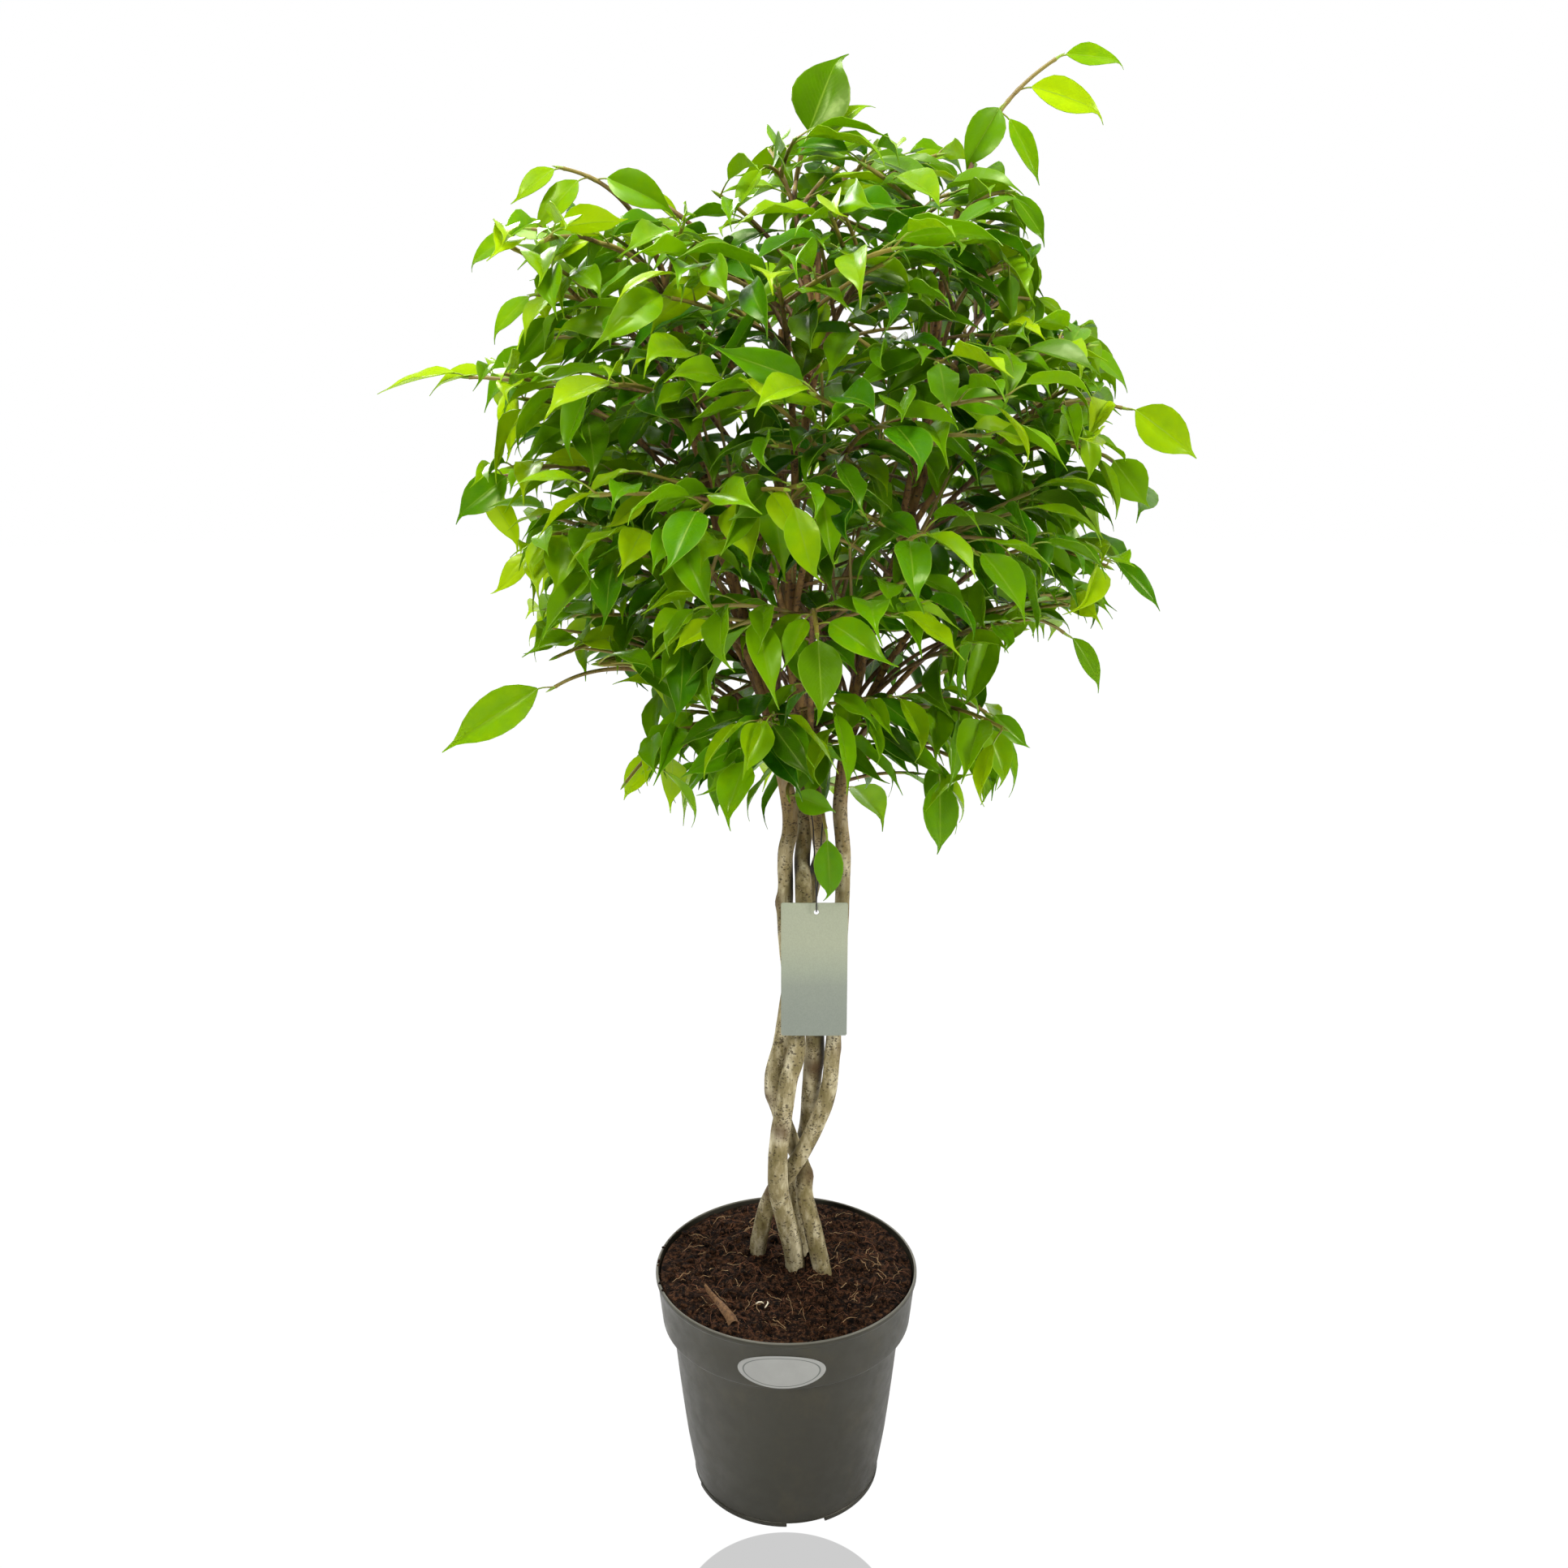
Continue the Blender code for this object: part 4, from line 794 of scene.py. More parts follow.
@dataclass
class PottingSoil:
    """Heaped potting mix with crumbs, coir, roots and a dry flake on it."""

    edge_z: float = 0.1815
    heap: float = 0.0045
    reach: float = 0.1005
    rings: int = 84
    facets: int = 232
    crumbs: int = 1200
    fibres: int = 300
    roots: int = 110
    seed: int = 77
    # Where the strands leave the soil.
    feet: tuple = ((0.0285, -0.0105), (0.0070, -0.0060), (0.0118, 0.0140), (-0.0238, 0.0165))
    # Two white root tips that show at the front: x, y, z and radius in mm.
    root_tips: tuple = (
        (
            (-16.5, -61.5, 185.3, 0.4), (-15.0, -60.0, 186.6, 0.6),
            (-14.0, -57.5, 186.8, 0.6), (-14.5, -54.5, 186.2, 0.3),
        ),
        (
            (-23.5, -56.0, 185.2, 0.4), (-21.5, -56.2, 186.6, 0.6),
            (-19.0, -55.8, 186.6, 0.6), (-17.5, -55.6, 185.2, 0.4),
        ),
    )

    def height(self, x: float, y: float) -> float:
        """Height of the heap at a point, as the solid soil has it."""
        r = math.hypot(x, y) / self.reach
        heap = self.heap * (0.5 + 0.5 * math.cos(math.pi * min(1.0, r)))
        a = math.atan2(y, x)
        wave = math.sin(3 * a + 1.1 + 9 * r) + 0.7 * math.sin(5 * a - 0.6 + 5 * r)
        wave += 0.5 * math.sin(8 * a + 13 * r)
        return self.edge_z + heap + 0.0011 * wave * min(1.0, 3 * (1 - r) + 0.35)

    def surface(self, x: float, y: float) -> float:
        """Height of the loose surface: the heap with clods and hollows."""
        clod = noise.fractal(Vector((x, y, 0.3)) / 0.014, 0.8, 2.1, 5)
        fine = noise.noise(Vector((x, y, 1.7)) / 0.0030)
        near = min(1.0, max(0.0, (self.reach - math.hypot(x, y)) / 0.006))
        return self.height(x, y) + (0.0032 * clod + 0.0013 * fine) * (0.25 + 0.75 * near)

    def build_plug(self) -> bpy.types.Object:
        """The soil itself, a closed plug with the loose surface as its top."""
        fit = 0.9945
        inside = [(73.4, 6.0), (82.1, 59.0), (90.3, 138.4), (98.3, 145.0), (101.9, 179.9)]
        side = [(0.0, 6.0)] + [(r * fit, z) for r, z in inside]
        radii = np.linspace(1, 0, self.rings)
        top = [(self.reach / MM * r, self.edge_z / MM + 0.001) for r in radii]
        plug = turned("potting_soil", (side + top)[::-1], self.facets)
        co = positions(plug.data)
        for i in np.nonzero(co[:, 2] > self.edge_z - 0.0005)[0]:
            co[i, 2] = self.surface(co[i, 0], co[i, 1])
        give_positions(plug.data, co)
        plug.data.shade_smooth()
        return plug

    def crumb(self, rng: random.Random, rounds: int) -> bpy.types.Object:
        """One irregular clod of radius 1 at the origin, a knocked-about ball of 20 or 80 faces."""
        bpy.ops.mesh.primitive_ico_sphere_add(subdivisions=rounds, radius=1)
        clod = bpy.context.object
        co = positions(clod.data)
        squash = np.array([rng.uniform(0.7, 1.2), rng.uniform(0.6, 1.0), rng.uniform(0.45, 0.8)])
        shift = Vector((rng.random() * 9, rng.random() * 9, rng.random() * 9))
        knocks = np.array([1 + 0.45 * noise.noise(Vector(c) * 1.3 + shift) for c in co])
        give_positions(clod.data, co * knocks[:, None] * squash)
        return clod

    def scatter_crumbs(self) -> bpy.types.Object:
        """All crumbs as one piece: a few clods, each copied, turned and laid on the surface."""
        rng = random.Random(self.seed)
        kinds = [self.crumb(rng, 1 + k // 6) for k in range(12)]
        shapes = [positions(k.data) for k in kinds]
        faces = [[tuple(p.vertices) for p in k.data.polygons] for k in kinds]
        for kind in kinds:
            bpy.data.objects.remove(kind)
        verts, all_faces, count = [], [], 0
        for number in range(self.crumbs):
            r = (self.reach - 0.0015) * math.sqrt(rng.random())
            a = rng.uniform(0, 2 * math.pi)
            size = 0.0005 + 0.0042 * rng.random() ** 5
            if number < 16:
                a, r = rng.uniform(2.6, 3.6), 0.1010 + 0.003 * rng.random()
                size = 0.0007 + 0.0007 * rng.random()
            x, y = r * math.cos(a), r * math.sin(a)
            if number % 5 == 0 and number > 16:
                foot = self.feet[number % 4]
                x, y = foot[0] + 0.0085 * math.cos(a), foot[1] + 0.0085 * math.sin(a)
                size = rng.uniform(0.0008, 0.0020)
            z = 0.1847 if number < 16 else self.surface(x, y) + 0.15 * size
            heading = Matrix.Rotation(rng.uniform(0, 6.28), 3, "Z")
            spin = np.array(heading @ Matrix.Rotation(rng.uniform(-0.6, 0.6), 3, "X"))
            kind = rng.randrange(6) + (6 if size > 0.0011 else 0)
            verts.append(shapes[kind] * size @ spin.T + (x, y, z))
            all_faces += [tuple(v + count for v in f) for f in faces[kind]]
            count += len(shapes[kind])
        clods = from_arrays("soil_crumbs", np.vstack(verts), all_faces)
        clods.data.shade_smooth()
        return clods

    def thread(self, rng: random.Random, length: float, radius: float, curl: float) -> Line:
        """A wandering fibre that lies on the soil, with both ends in it."""
        r = (self.reach - 0.012) * math.sqrt(rng.random())
        a, heading = rng.uniform(0, 2 * math.pi), rng.uniform(0, 2 * math.pi)
        at = np.array([r * math.cos(a), r * math.sin(a)])
        count = max(6, int(length / 0.0022))
        points = []
        for k in range(count):
            t = k / (count - 1)
            arch = math.sin(math.pi * t)
            lift = radius * 0.6 + 0.0016 * arch * rng.uniform(0.5, 1.0) - 0.0012 * (1 - arch)
            if np.linalg.norm(at) > self.reach - 0.0015:
                heading = math.atan2(-at[1], -at[0]) + rng.uniform(-0.6, 0.6)
            points.append((at[0], at[1], self.surface(at[0], at[1]) + lift))
            heading += rng.gauss(0, curl)
            at = at + np.array([math.cos(heading), math.sin(heading)]) * length / count
        radii = radius * (1 - 0.6 * np.linspace(0, 1, count) ** 2)
        return np.array(points), radii

    def build_flake(self) -> bpy.types.Object:
        """A dry curled flake that leans out of the soil near the front."""
        bpy.ops.mesh.primitive_grid_add(x_subdivisions=6, y_subdivisions=14, size=1)
        flake = bpy.context.object
        flake.name = flake.data.name = "dry_flake"
        co = positions(flake.data)
        u, v = co[:, 0] * 2, co[:, 1] + 0.5
        width = 0.0040 * (1 - v) ** 0.6 + 0.0004
        width = width * (1 + 0.18 * np.sin(11 * v + 1) * np.sign(u) * np.abs(u))
        x = u * width + 0.0022 * np.sin(3.0 * v)
        curl = 0.0034 * (1 - u**2) * (1 - 0.5 * v) + 0.0016 * np.sin(7 * v)
        low, high = np.array([-0.0405, -0.078, 0.1822]), np.array([-0.0635, -0.046, 0.1935])
        way = high - low
        across = unit(np.cross(way, UP))
        face = np.cross(across, unit(way))
        give_positions(flake.data, low + v[:, None] * way + x[:, None] * across + curl[:, None] * face)
        apply_modifier(flake, "SOLIDIFY", thickness=0.0005, offset=0.0)
        tidy_faces(flake)
        shade(flake, 50)
        return flake

    def build(self, finish: Peat) -> None:
        """Build and dress the soil and everything on it.

        Args:
            finish: the potting mix.
        """
        peat = finish.make()
        plug, clods = self.build_plug(), self.scatter_crumbs()
        dress(plug, peat)
        dress(clods, peat)
        place(plug, "peat", "soil")
        place(clods, "peat")
        rng = random.Random(self.seed + 1)
        coir = [
            self.thread(rng, rng.uniform(0.006, 0.024), rng.uniform(0.00013, 0.00026), 0.30)
            for _ in range(self.fibres)
        ]
        roots = [
            self.thread(rng, rng.uniform(0.008, 0.032), rng.uniform(0.00016, 0.00032), 0.22)
            for _ in range(self.roots)
        ]
        tips = [(np.array(rows)[:, :3] * MM, [row[3] * MM for row in rows]) for rows in self.root_tips]
        kinds = (
            ("coir_fibres", coir, COIR),
            ("fine_roots", roots, PALE_ROOT),
            ("root_tips", tips, WHITE_ROOT),
        )
        for name, lines, stock in kinds:
            piece = sweep(name, lines, 1)
            tidy_faces(piece)
            piece.data.shade_smooth()
            dress(piece, stock.make())
            place(piece, "peat")
        flake = self.build_flake()
        dress(flake, DRY_LEAF.make())
        place(flake, "peat")


@dataclass
class CollarLabel:
    """Oval paper label that follows the collar's cone."""

    centre: tuple[float, float] = (-0.0037, 0.1584)
    half: tuple[float, float] = (0.0335, 0.0147)
    rings: int = 9
    facets: int = 72

    def build(self, finish: FoilPaper) -> bpy.types.Object:
        """Bend a disc round the collar, thicken it and dress it.

        Args:
            finish: the label's paper.

        Returns:
            The label.
        """
        bpy.ops.mesh.primitive_circle_add(vertices=self.facets, radius=1, fill_type="NGON")
        label = bpy.context.object
        label.name = label.data.name = "collar_label"
        bpy.ops.object.mode_set(mode="EDIT")
        bpy.ops.mesh.select_all(action="SELECT")
        for _ in range(self.rings):
            bpy.ops.mesh.inset(thickness=1 / (self.rings + 1), depth=0)
        bpy.ops.object.mode_set(mode="OBJECT")
        flat = positions(label.data)
        layer = label.data.uv_layers.new(name="oval")
        loops = np.empty(len(label.data.loops), int)
        label.data.loops.foreach_get("vertex_index", loops)
        layer.data.foreach_set("uv", (flat[loops, :2] * 0.5 + 0.5).ravel())
        angle = math.asin(self.centre[0] / 0.1018) + flat[:, 0] * self.half[0] / 0.1018
        z = self.centre[1] + flat[:, 1] * self.half[1]
        lift = 0.00055 - 0.00018 * np.clip((np.hypot(flat[:, 0], flat[:, 1]) - 0.9) / 0.1, 0, 1)
        r = 0.1000 + (z - 0.1435) * 0.0036 / 0.0361 + lift
        give_positions(label.data, np.c_[r * np.sin(angle), -r * np.cos(angle), z])
        tidy_faces(label)
        apply_modifier(label, "SOLIDIFY", thickness=0.00035, offset=-1.0)
        tidy_faces(label)
        shade(label, 45)
        dress(label, finish.make())
        return place(label, "label_paper", "pot_label")


@dataclass
class HangTag:
    """Card with a punched hole, and the string that carries it."""

    x: tuple[float, float] = (-0.0040, 0.0455)
    z: tuple[float, float] = (0.3935, 0.4985)
    y: float = -0.0260
    thickness: float = 0.0008
    hole: tuple[float, float, float] = (0.0221, 0.4913, 0.0019)
    bow: float = 0.0006
    cord_diameter: float = 0.0010
    loop_radius: float = 7.05
    down: tuple = (
        (17.6, -18.4, 566.0), (19.4, -20.4, 556.0), (21.0, -24.6, 525.0), (22.1, -28.6, 499.0),
        (22.1, -28.9, 494.2), (22.1, -27.9, 492.4), (22.1, -24.4, 492.4), (22.1, -23.3, 494.0),
        (22.3, -22.9, 501.0), (24.4, -21.2, 530.0), (26.4, -18.2, 556.0),
    )

    def build_card(self, finish: PrintedCard) -> bpy.types.Object:
        """The card: cut, rounded at its corners, punched and a little bowed."""
        middle = ((self.x[0] + self.x[1]) / 2, self.y, (self.z[0] + self.z[1]) / 2)
        bpy.ops.mesh.primitive_cube_add(size=1, location=middle)
        card = bpy.context.object
        card.name = card.data.name = "hang_tag"
        card.scale = (self.x[1] - self.x[0], self.thickness, self.z[1] - self.z[0])
        bpy.ops.object.transform_apply(location=True, rotation=False, scale=True)
        bm = bmesh.new()
        bm.from_mesh(card.data)
        corners = [e for e in bm.edges if abs(e.verts[0].co.y - e.verts[1].co.y) > self.thickness * 0.9]
        bmesh.ops.bevel(bm, geom=corners, offset=0.0008, segments=3, affect="EDGES")
        rows = [e for e in bm.edges if abs(e.verts[0].co.x - e.verts[1].co.x) > 0.04]
        bmesh.ops.subdivide_edges(bm, edges=rows, cuts=11, use_grid_fill=True)
        bm.to_mesh(card.data)
        bm.free()
        spot = (self.hole[0], self.y, self.hole[1])
        bpy.ops.mesh.primitive_cylinder_add(
            vertices=32, radius=self.hole[2], depth=0.01, location=spot, rotation=(math.pi / 2, 0, 0)
        )
        cut(card, [bpy.context.object])
        co = positions(card.data)
        u = (co[:, 0] - middle[0]) / (self.x[1] - middle[0])
        co[:, 1] += self.bow * (u**2 - 0.4)
        give_positions(card.data, co)
        steep = math.radians(60)
        apply_modifier(card, "BEVEL", width=0.00015, segments=1, limit_method="ANGLE", angle_limit=steep)
        shade(card, 35)
        dress(card, finish.make())
        return place(card, "card", "tag_card")

    def string_points(self) -> Array:
        """The string from its knot down through the hole, back up and once round a strand, in metres."""
        points = list(self.down)
        for k in range(10):
            a = math.radians(-38 + 29 * k)
            z = 571.0 + 5.0 * math.sin(math.pi * k / 9)
            x = 21.0 - 0.167 * (z - 572.0) + self.loop_radius * math.cos(a)
            y = -10.0 - 0.188 * (z - 572.0) + self.loop_radius * math.sin(a)
            points.append((x, y, z))
        rows = np.c_[np.array(points) * MM, np.zeros(len(points))]
        return smooth_path(rows, 0.0035)[:, :3]

    def build_string(self, finish: PlainStock) -> bpy.types.Object:
        """The string as a bevelled curve of its real length."""
        points = self.string_points()
        curve = bpy.data.curves.new("tag_string", "CURVE")
        curve.dimensions = "3D"
        curve.bevel_depth = self.cord_diameter / 2
        curve.bevel_resolution = 3
        curve.use_fill_caps = True
        spline = curve.splines.new("POLY")
        spline.points.add(len(points) - 1)
        spline.points.foreach_set("co", np.c_[points, np.ones(len(points))].ravel())
        string = bpy.data.objects.new("tag_string", curve)
        bpy.context.scene.collection.objects.link(string)
        curve.materials.append(finish.make())
        place(string, "string", "tag_cord")
        return string


# The plant


class Strand(Enum):
    """The four braided stems, each with its centre line and leader: x, y, z, radius in mm."""

    A = (
        (43.0, -19.2, 120.0, 7.0), (28.1, -10.0, 188.0, 7.2), (21.5, -6.0, 218.4, 7.2),
        (14.9, 0.0, 243.7, 6.8), (13.8, 7.0, 257.0, 6.6), (10.4, 10.6, 271.5, 6.6),
        (2.6, 10.4, 291.0, 6.8), (-4.6, 6.0, 314.0, 6.8), (-10.3, 3.0, 344.0, 6.8),
        (-3.1, 6.0, 377.0, 6.6), (4.0, 13.0, 425.0, 6.3), (13.5, 17.0, 470.0, 6.1),
        (20.5, 11.5, 503.0, 6.0), (26.2, -3.0, 528.0, 6.0), (24.2, -7.5, 547.0, 6.1),
        (21.0, -10.0, 572.0, 6.0), (13.0, -19.0, 620.0, 5.2), (3.0, -33.0, 700.0, 4.2),
        (6.0, -44.0, 790.0, 3.2), (18.0, -46.0, 880.0, 2.4), (21.0, -40.0, 950.0, 1.8),
    )
    B = (
        (9.0, -4.0, 120.0, 7.6), (7.0, -6.0, 188.0, 7.8), (1.5, -12.0, 222.0, 8.0),
        (-5.6, -19.0, 258.5, 8.0), (-6.6, -22.0, 284.0, 7.8), (-6.0, -22.0, 299.0, 7.5),
        (-2.4, -18.0, 325.0, 7.2), (1.8, -13.0, 351.0, 7.0), (7.9, -10.0, 377.0, 6.8),
        (3.0, -10.0, 430.0, 6.2), (-1.0, -7.0, 475.0, 5.8), (-0.5, -6.0, 500.0, 5.7),
        (-0.8, -3.0, 528.5, 5.9), (2.6, -2.0, 548.0, 5.9), (1.0, -3.0, 575.0, 5.9),
        (-8.0, -8.0, 615.0, 5.2), (-24.0, -14.0, 685.0, 4.3), (-47.0, -19.0, 765.0, 3.3),
        (-64.0, -22.0, 850.0, 2.4), (-74.0, -24.0, 920.0, 1.8),
    )
    C = (
        (14.0, 18.0, 120.0, 6.4), (11.6, 14.0, 188.0, 6.6), (10.3, 17.0, 213.0, 6.6),
        (7.2, 24.0, 243.0, 6.6), (10.4, 28.0, 260.5, 6.8), (15.3, 24.0, 284.0, 7.0),
        (18.8, 16.0, 308.0, 7.4), (20.3, 8.0, 340.7, 7.6), (22.4, 4.0, 377.4, 7.4),
        (19.5, -4.0, 430.0, 6.6), (14.5, -12.0, 470.0, 6.2), (12.9, -14.0, 495.6, 6.2),
        (12.4, -8.5, 510.0, 6.0), (12.0, 4.0, 524.0, 5.9), (13.6, 11.0, 543.0, 5.9),
        (12.5, 17.0, 575.0, 5.8), (8.0, 31.0, 640.0, 4.8), (0.0, 48.0, 730.0, 3.9),
        (-7.0, 62.0, 820.0, 3.0), (-4.0, 72.0, 910.0, 1.9),
    )
    D = (
        (-30.0, 26.0, 120.0, 6.8), (-23.2, 16.2, 188.7, 6.8), (-21.5, 14.0, 200.0, 6.8),
        (-15.8, 8.0, 230.0, 6.7), (-8.9, 2.0, 247.5, 6.6), (4.0, -4.2, 270.6, 6.6),
        (13.0, -5.2, 286.7, 6.6), (24.3, -5.0, 311.8, 6.6), (32.9, -5.0, 339.7, 6.4),
        (36.2, -4.0, 381.0, 5.8), (39.0, -2.0, 430.0, 5.7), (41.5, 0.0, 470.0, 5.6),
        (42.6, 0.0, 505.0, 5.6), (42.9, 0.0, 528.0, 5.6), (40.2, 0.0, 556.6, 5.5),
        (40.5, 0.5, 575.0, 5.5), (46.0, 2.0, 620.0, 5.0), (58.0, 6.0, 690.0, 4.2),
        (87.0, 10.0, 770.0, 3.3), (101.0, 14.0, 850.0, 2.4), (102.0, 15.0, 920.0, 1.8),
    )

    def line(self, step: float) -> Array:
        """The strand's rows in metres, step apart."""
        return smooth_path(np.array(self.value) * MM, step)


# Shoots that draw the crown's outline: strand, end of the twig, tip of its last leaf in mm, side twigs, how
# far that leaf faces the front, and its half width as a share of its length.
OUTLINE_SHOOTS = (
    (Strand.B, (-216, -20, 871), (-279, -25, 863), 2, 0.30, 0.19),
    (Strand.B, (-190, 4, 806), (-233, -8, 774), 2, 0.85, 0.27),
    (Strand.B, (-163, -36, 661), (-239, -52, 615), 1, 0.80, 0.20),
    (Strand.B, (-92, -30, 616), (-117, -36, 578), 2, 0.60, 0.22),
    (Strand.C, (-159, 32, 703), (-199, 38, 684), 2, 0.50, 0.22),
    (Strand.B, (-165, -42, 756), (-200, -50, 726), 3, 0.50, 0.22),
    (Strand.C, (-177, 30, 899), (-221, 36, 851), 3, 0.50, 0.22),
    (Strand.B, (-147, -20, 1003), (-179, -30, 980), 0, 0.60, 0.24),
    (Strand.C, (-180, 22, 969), (-226, 26, 948), 1, 0.50, 0.22),
    (Strand.B, (-160, -60, 920), (-190, -72, 893), 2, 0.50, 0.22),
    (Strand.A, (12, -10, 1019), (36, -12, 1077), 0, 1.00, 0.36),
    (Strand.D, (181, 20, 1079), (232, 24, 1078), 0, 0.75, 0.19),
    (Strand.D, (141, -40, 985), (168, -48, 953), 1, 0.60, 0.22),
    (Strand.D, (173, 42, 928), (208, 52, 910), 3, 0.50, 0.22),
    (Strand.D, (200, -12, 890), (236, -14, 864), 3, 0.50, 0.22),
    (Strand.D, (229, -20, 851), (279, -31, 815), 2, 0.95, 0.27),
    (Strand.D, (217, -30, 819), (244, -40, 784), 2, 0.95, 0.34),
    (Strand.D, (222, -22, 749), (264, -26, 714), 3, 0.50, 0.17),
    (Strand.D, (205, 22, 692), (238, 26, 648), 2, 0.50, 0.18),
    (Strand.D, (143, -22, 640), (174, -26, 612), 1, 0.70, 0.22),
    (Strand.D, (107, -50, 606), (109, -58, 544), 0, 0.95, 0.24),
    (Strand.A, (-36, -62, 625), (-50, -70, 578), 3, 0.60, 0.24),
    (Strand.A, (28, -45, 560), (32, -47, 505), -1, 0.85, 0.23),
    (Strand.C, (-102, 42, 1000), (-72, 50, 978), 0, 0.50, 0.22),
    (Strand.A, (-12, -42, 1000), (-34, -54, 970), 2, 0.50, 0.22),
    (Strand.C, (84, 60, 1020), (120, 70, 1030), 1, 0.50, 0.20),
    (Strand.B, (-119, -70, 950), (-156, -84, 935), 1, 0.50, 0.22),
    (Strand.A, (1, -51, 586), (34, -58, 574), -1, 0.95, 0.31),
)
# Single leaves that stand out: shoot, place along its twig, tip in mm, then as above.
NAMED_LEAVES = (
    (0, 0.90, (-247, -22, 849), 0.80, 0.26),
    (7, 0.80, (-167, -30, 960), 0.70, 0.22),
    (7, 0.74, (-74, -30, 974), 0.75, 0.25),
    (8, 0.84, (-200, 16, 973), 0.70, 0.22),
    (10, 0.90, (56, -10, 1049), 0.60, 0.15),
    (11, 0.74, (219, 18, 1044), 0.75, 0.21),
    (11, 0.66, (122, 10, 1006), 0.90, 0.29),
    (11, 0.58, (173, 14, 1000), 0.60, 0.18),
    (19, 0.84, (160, -32, 578), 0.85, 0.22),
    (20, 0.90, (129, -60, 584), 0.95, 0.28),
)
# The crown's outline as it shows from EYE on the plane y = 0: x, z in mm.
EYE = (-0.0018, -0.996, 0.818)
CROWN_OUTLINE = (
    (-5, 1028), (60, 1031), (87, 1016), (147, 1013), (167, 985), (172, 944), (190, 912), (219, 891),
    (232, 864), (244, 848), (213, 834), (252, 812), (256, 781), (229, 761), (250, 741), (238, 703),
    (189, 689), (142, 674), (131, 647), (168, 623), (166, 586), (140, 561), (110, 533), (73, 561),
    (46, 577), (43, 555), (-5, 555), (-42, 552), (-96, 561), (-120, 583), (-89, 629), (-91, 653),
    (-147, 656), (-191, 671), (-187, 706), (-191, 741), (-194, 770), (-226, 798), (-199, 820),
    (-192, 848), (-214, 869), (-196, 894), (-155, 925), (-198, 954), (-192, 967), (-126, 980),
    (-65, 985), (-27, 1002),
)


# Leafy twigs of scene.py's own, where the solids have few: strand, height of the root, tip, in mm.
FILLERS = (
    (Strand.A, 860, (-68, -25, 962)), (Strand.A, 880, (-42, -35, 948)), (Strand.A, 900, (-22, -20, 968)),
    (Strand.D, 850, (108, -15, 988)), (Strand.D, 860, (140, 0, 968)), (Strand.D, 840, (148, -20, 944)),
    (Strand.D, 830, (122, -30, 955)), (Strand.B, 610, (-168, -20, 700)), (Strand.B, 600, (-142, -35, 688)),
    (Strand.B, 615, (-118, -20, 684)), (Strand.D, 640, (205, -15, 722)), (Strand.D, 625, (178, -25, 708)),
    (Strand.D, 620, (150, -30, 694)), (Strand.D, 590, (98, -25, 655)), (Strand.C, 585, (78, -30, 640)),
    (Strand.D, 585, (148, -5, 618)), (Strand.D, 700, (212, -25, 792)), (Strand.C, 590, (20, -40, 620)),
)


def within_outline(point: Array) -> bool:
    """Whether a point shows inside the crown's outline from the front."""
    scale = -EYE[1] / (point[1] - EYE[1])
    x = (EYE[0] + (point[0] - EYE[0]) * scale) / MM
    z = (EYE[2] + (point[2] - EYE[2]) * scale) / MM
    inside = False
    for (x1, z1), (x2, z2) in zip(CROWN_OUTLINE, CROWN_OUTLINE[1:] + CROWN_OUTLINE[:1]):
        if (z1 > z) != (z2 > z) and x < (x2 - x1) * (z - z1) / (z2 - z1) + x1:
            inside = not inside
    return inside


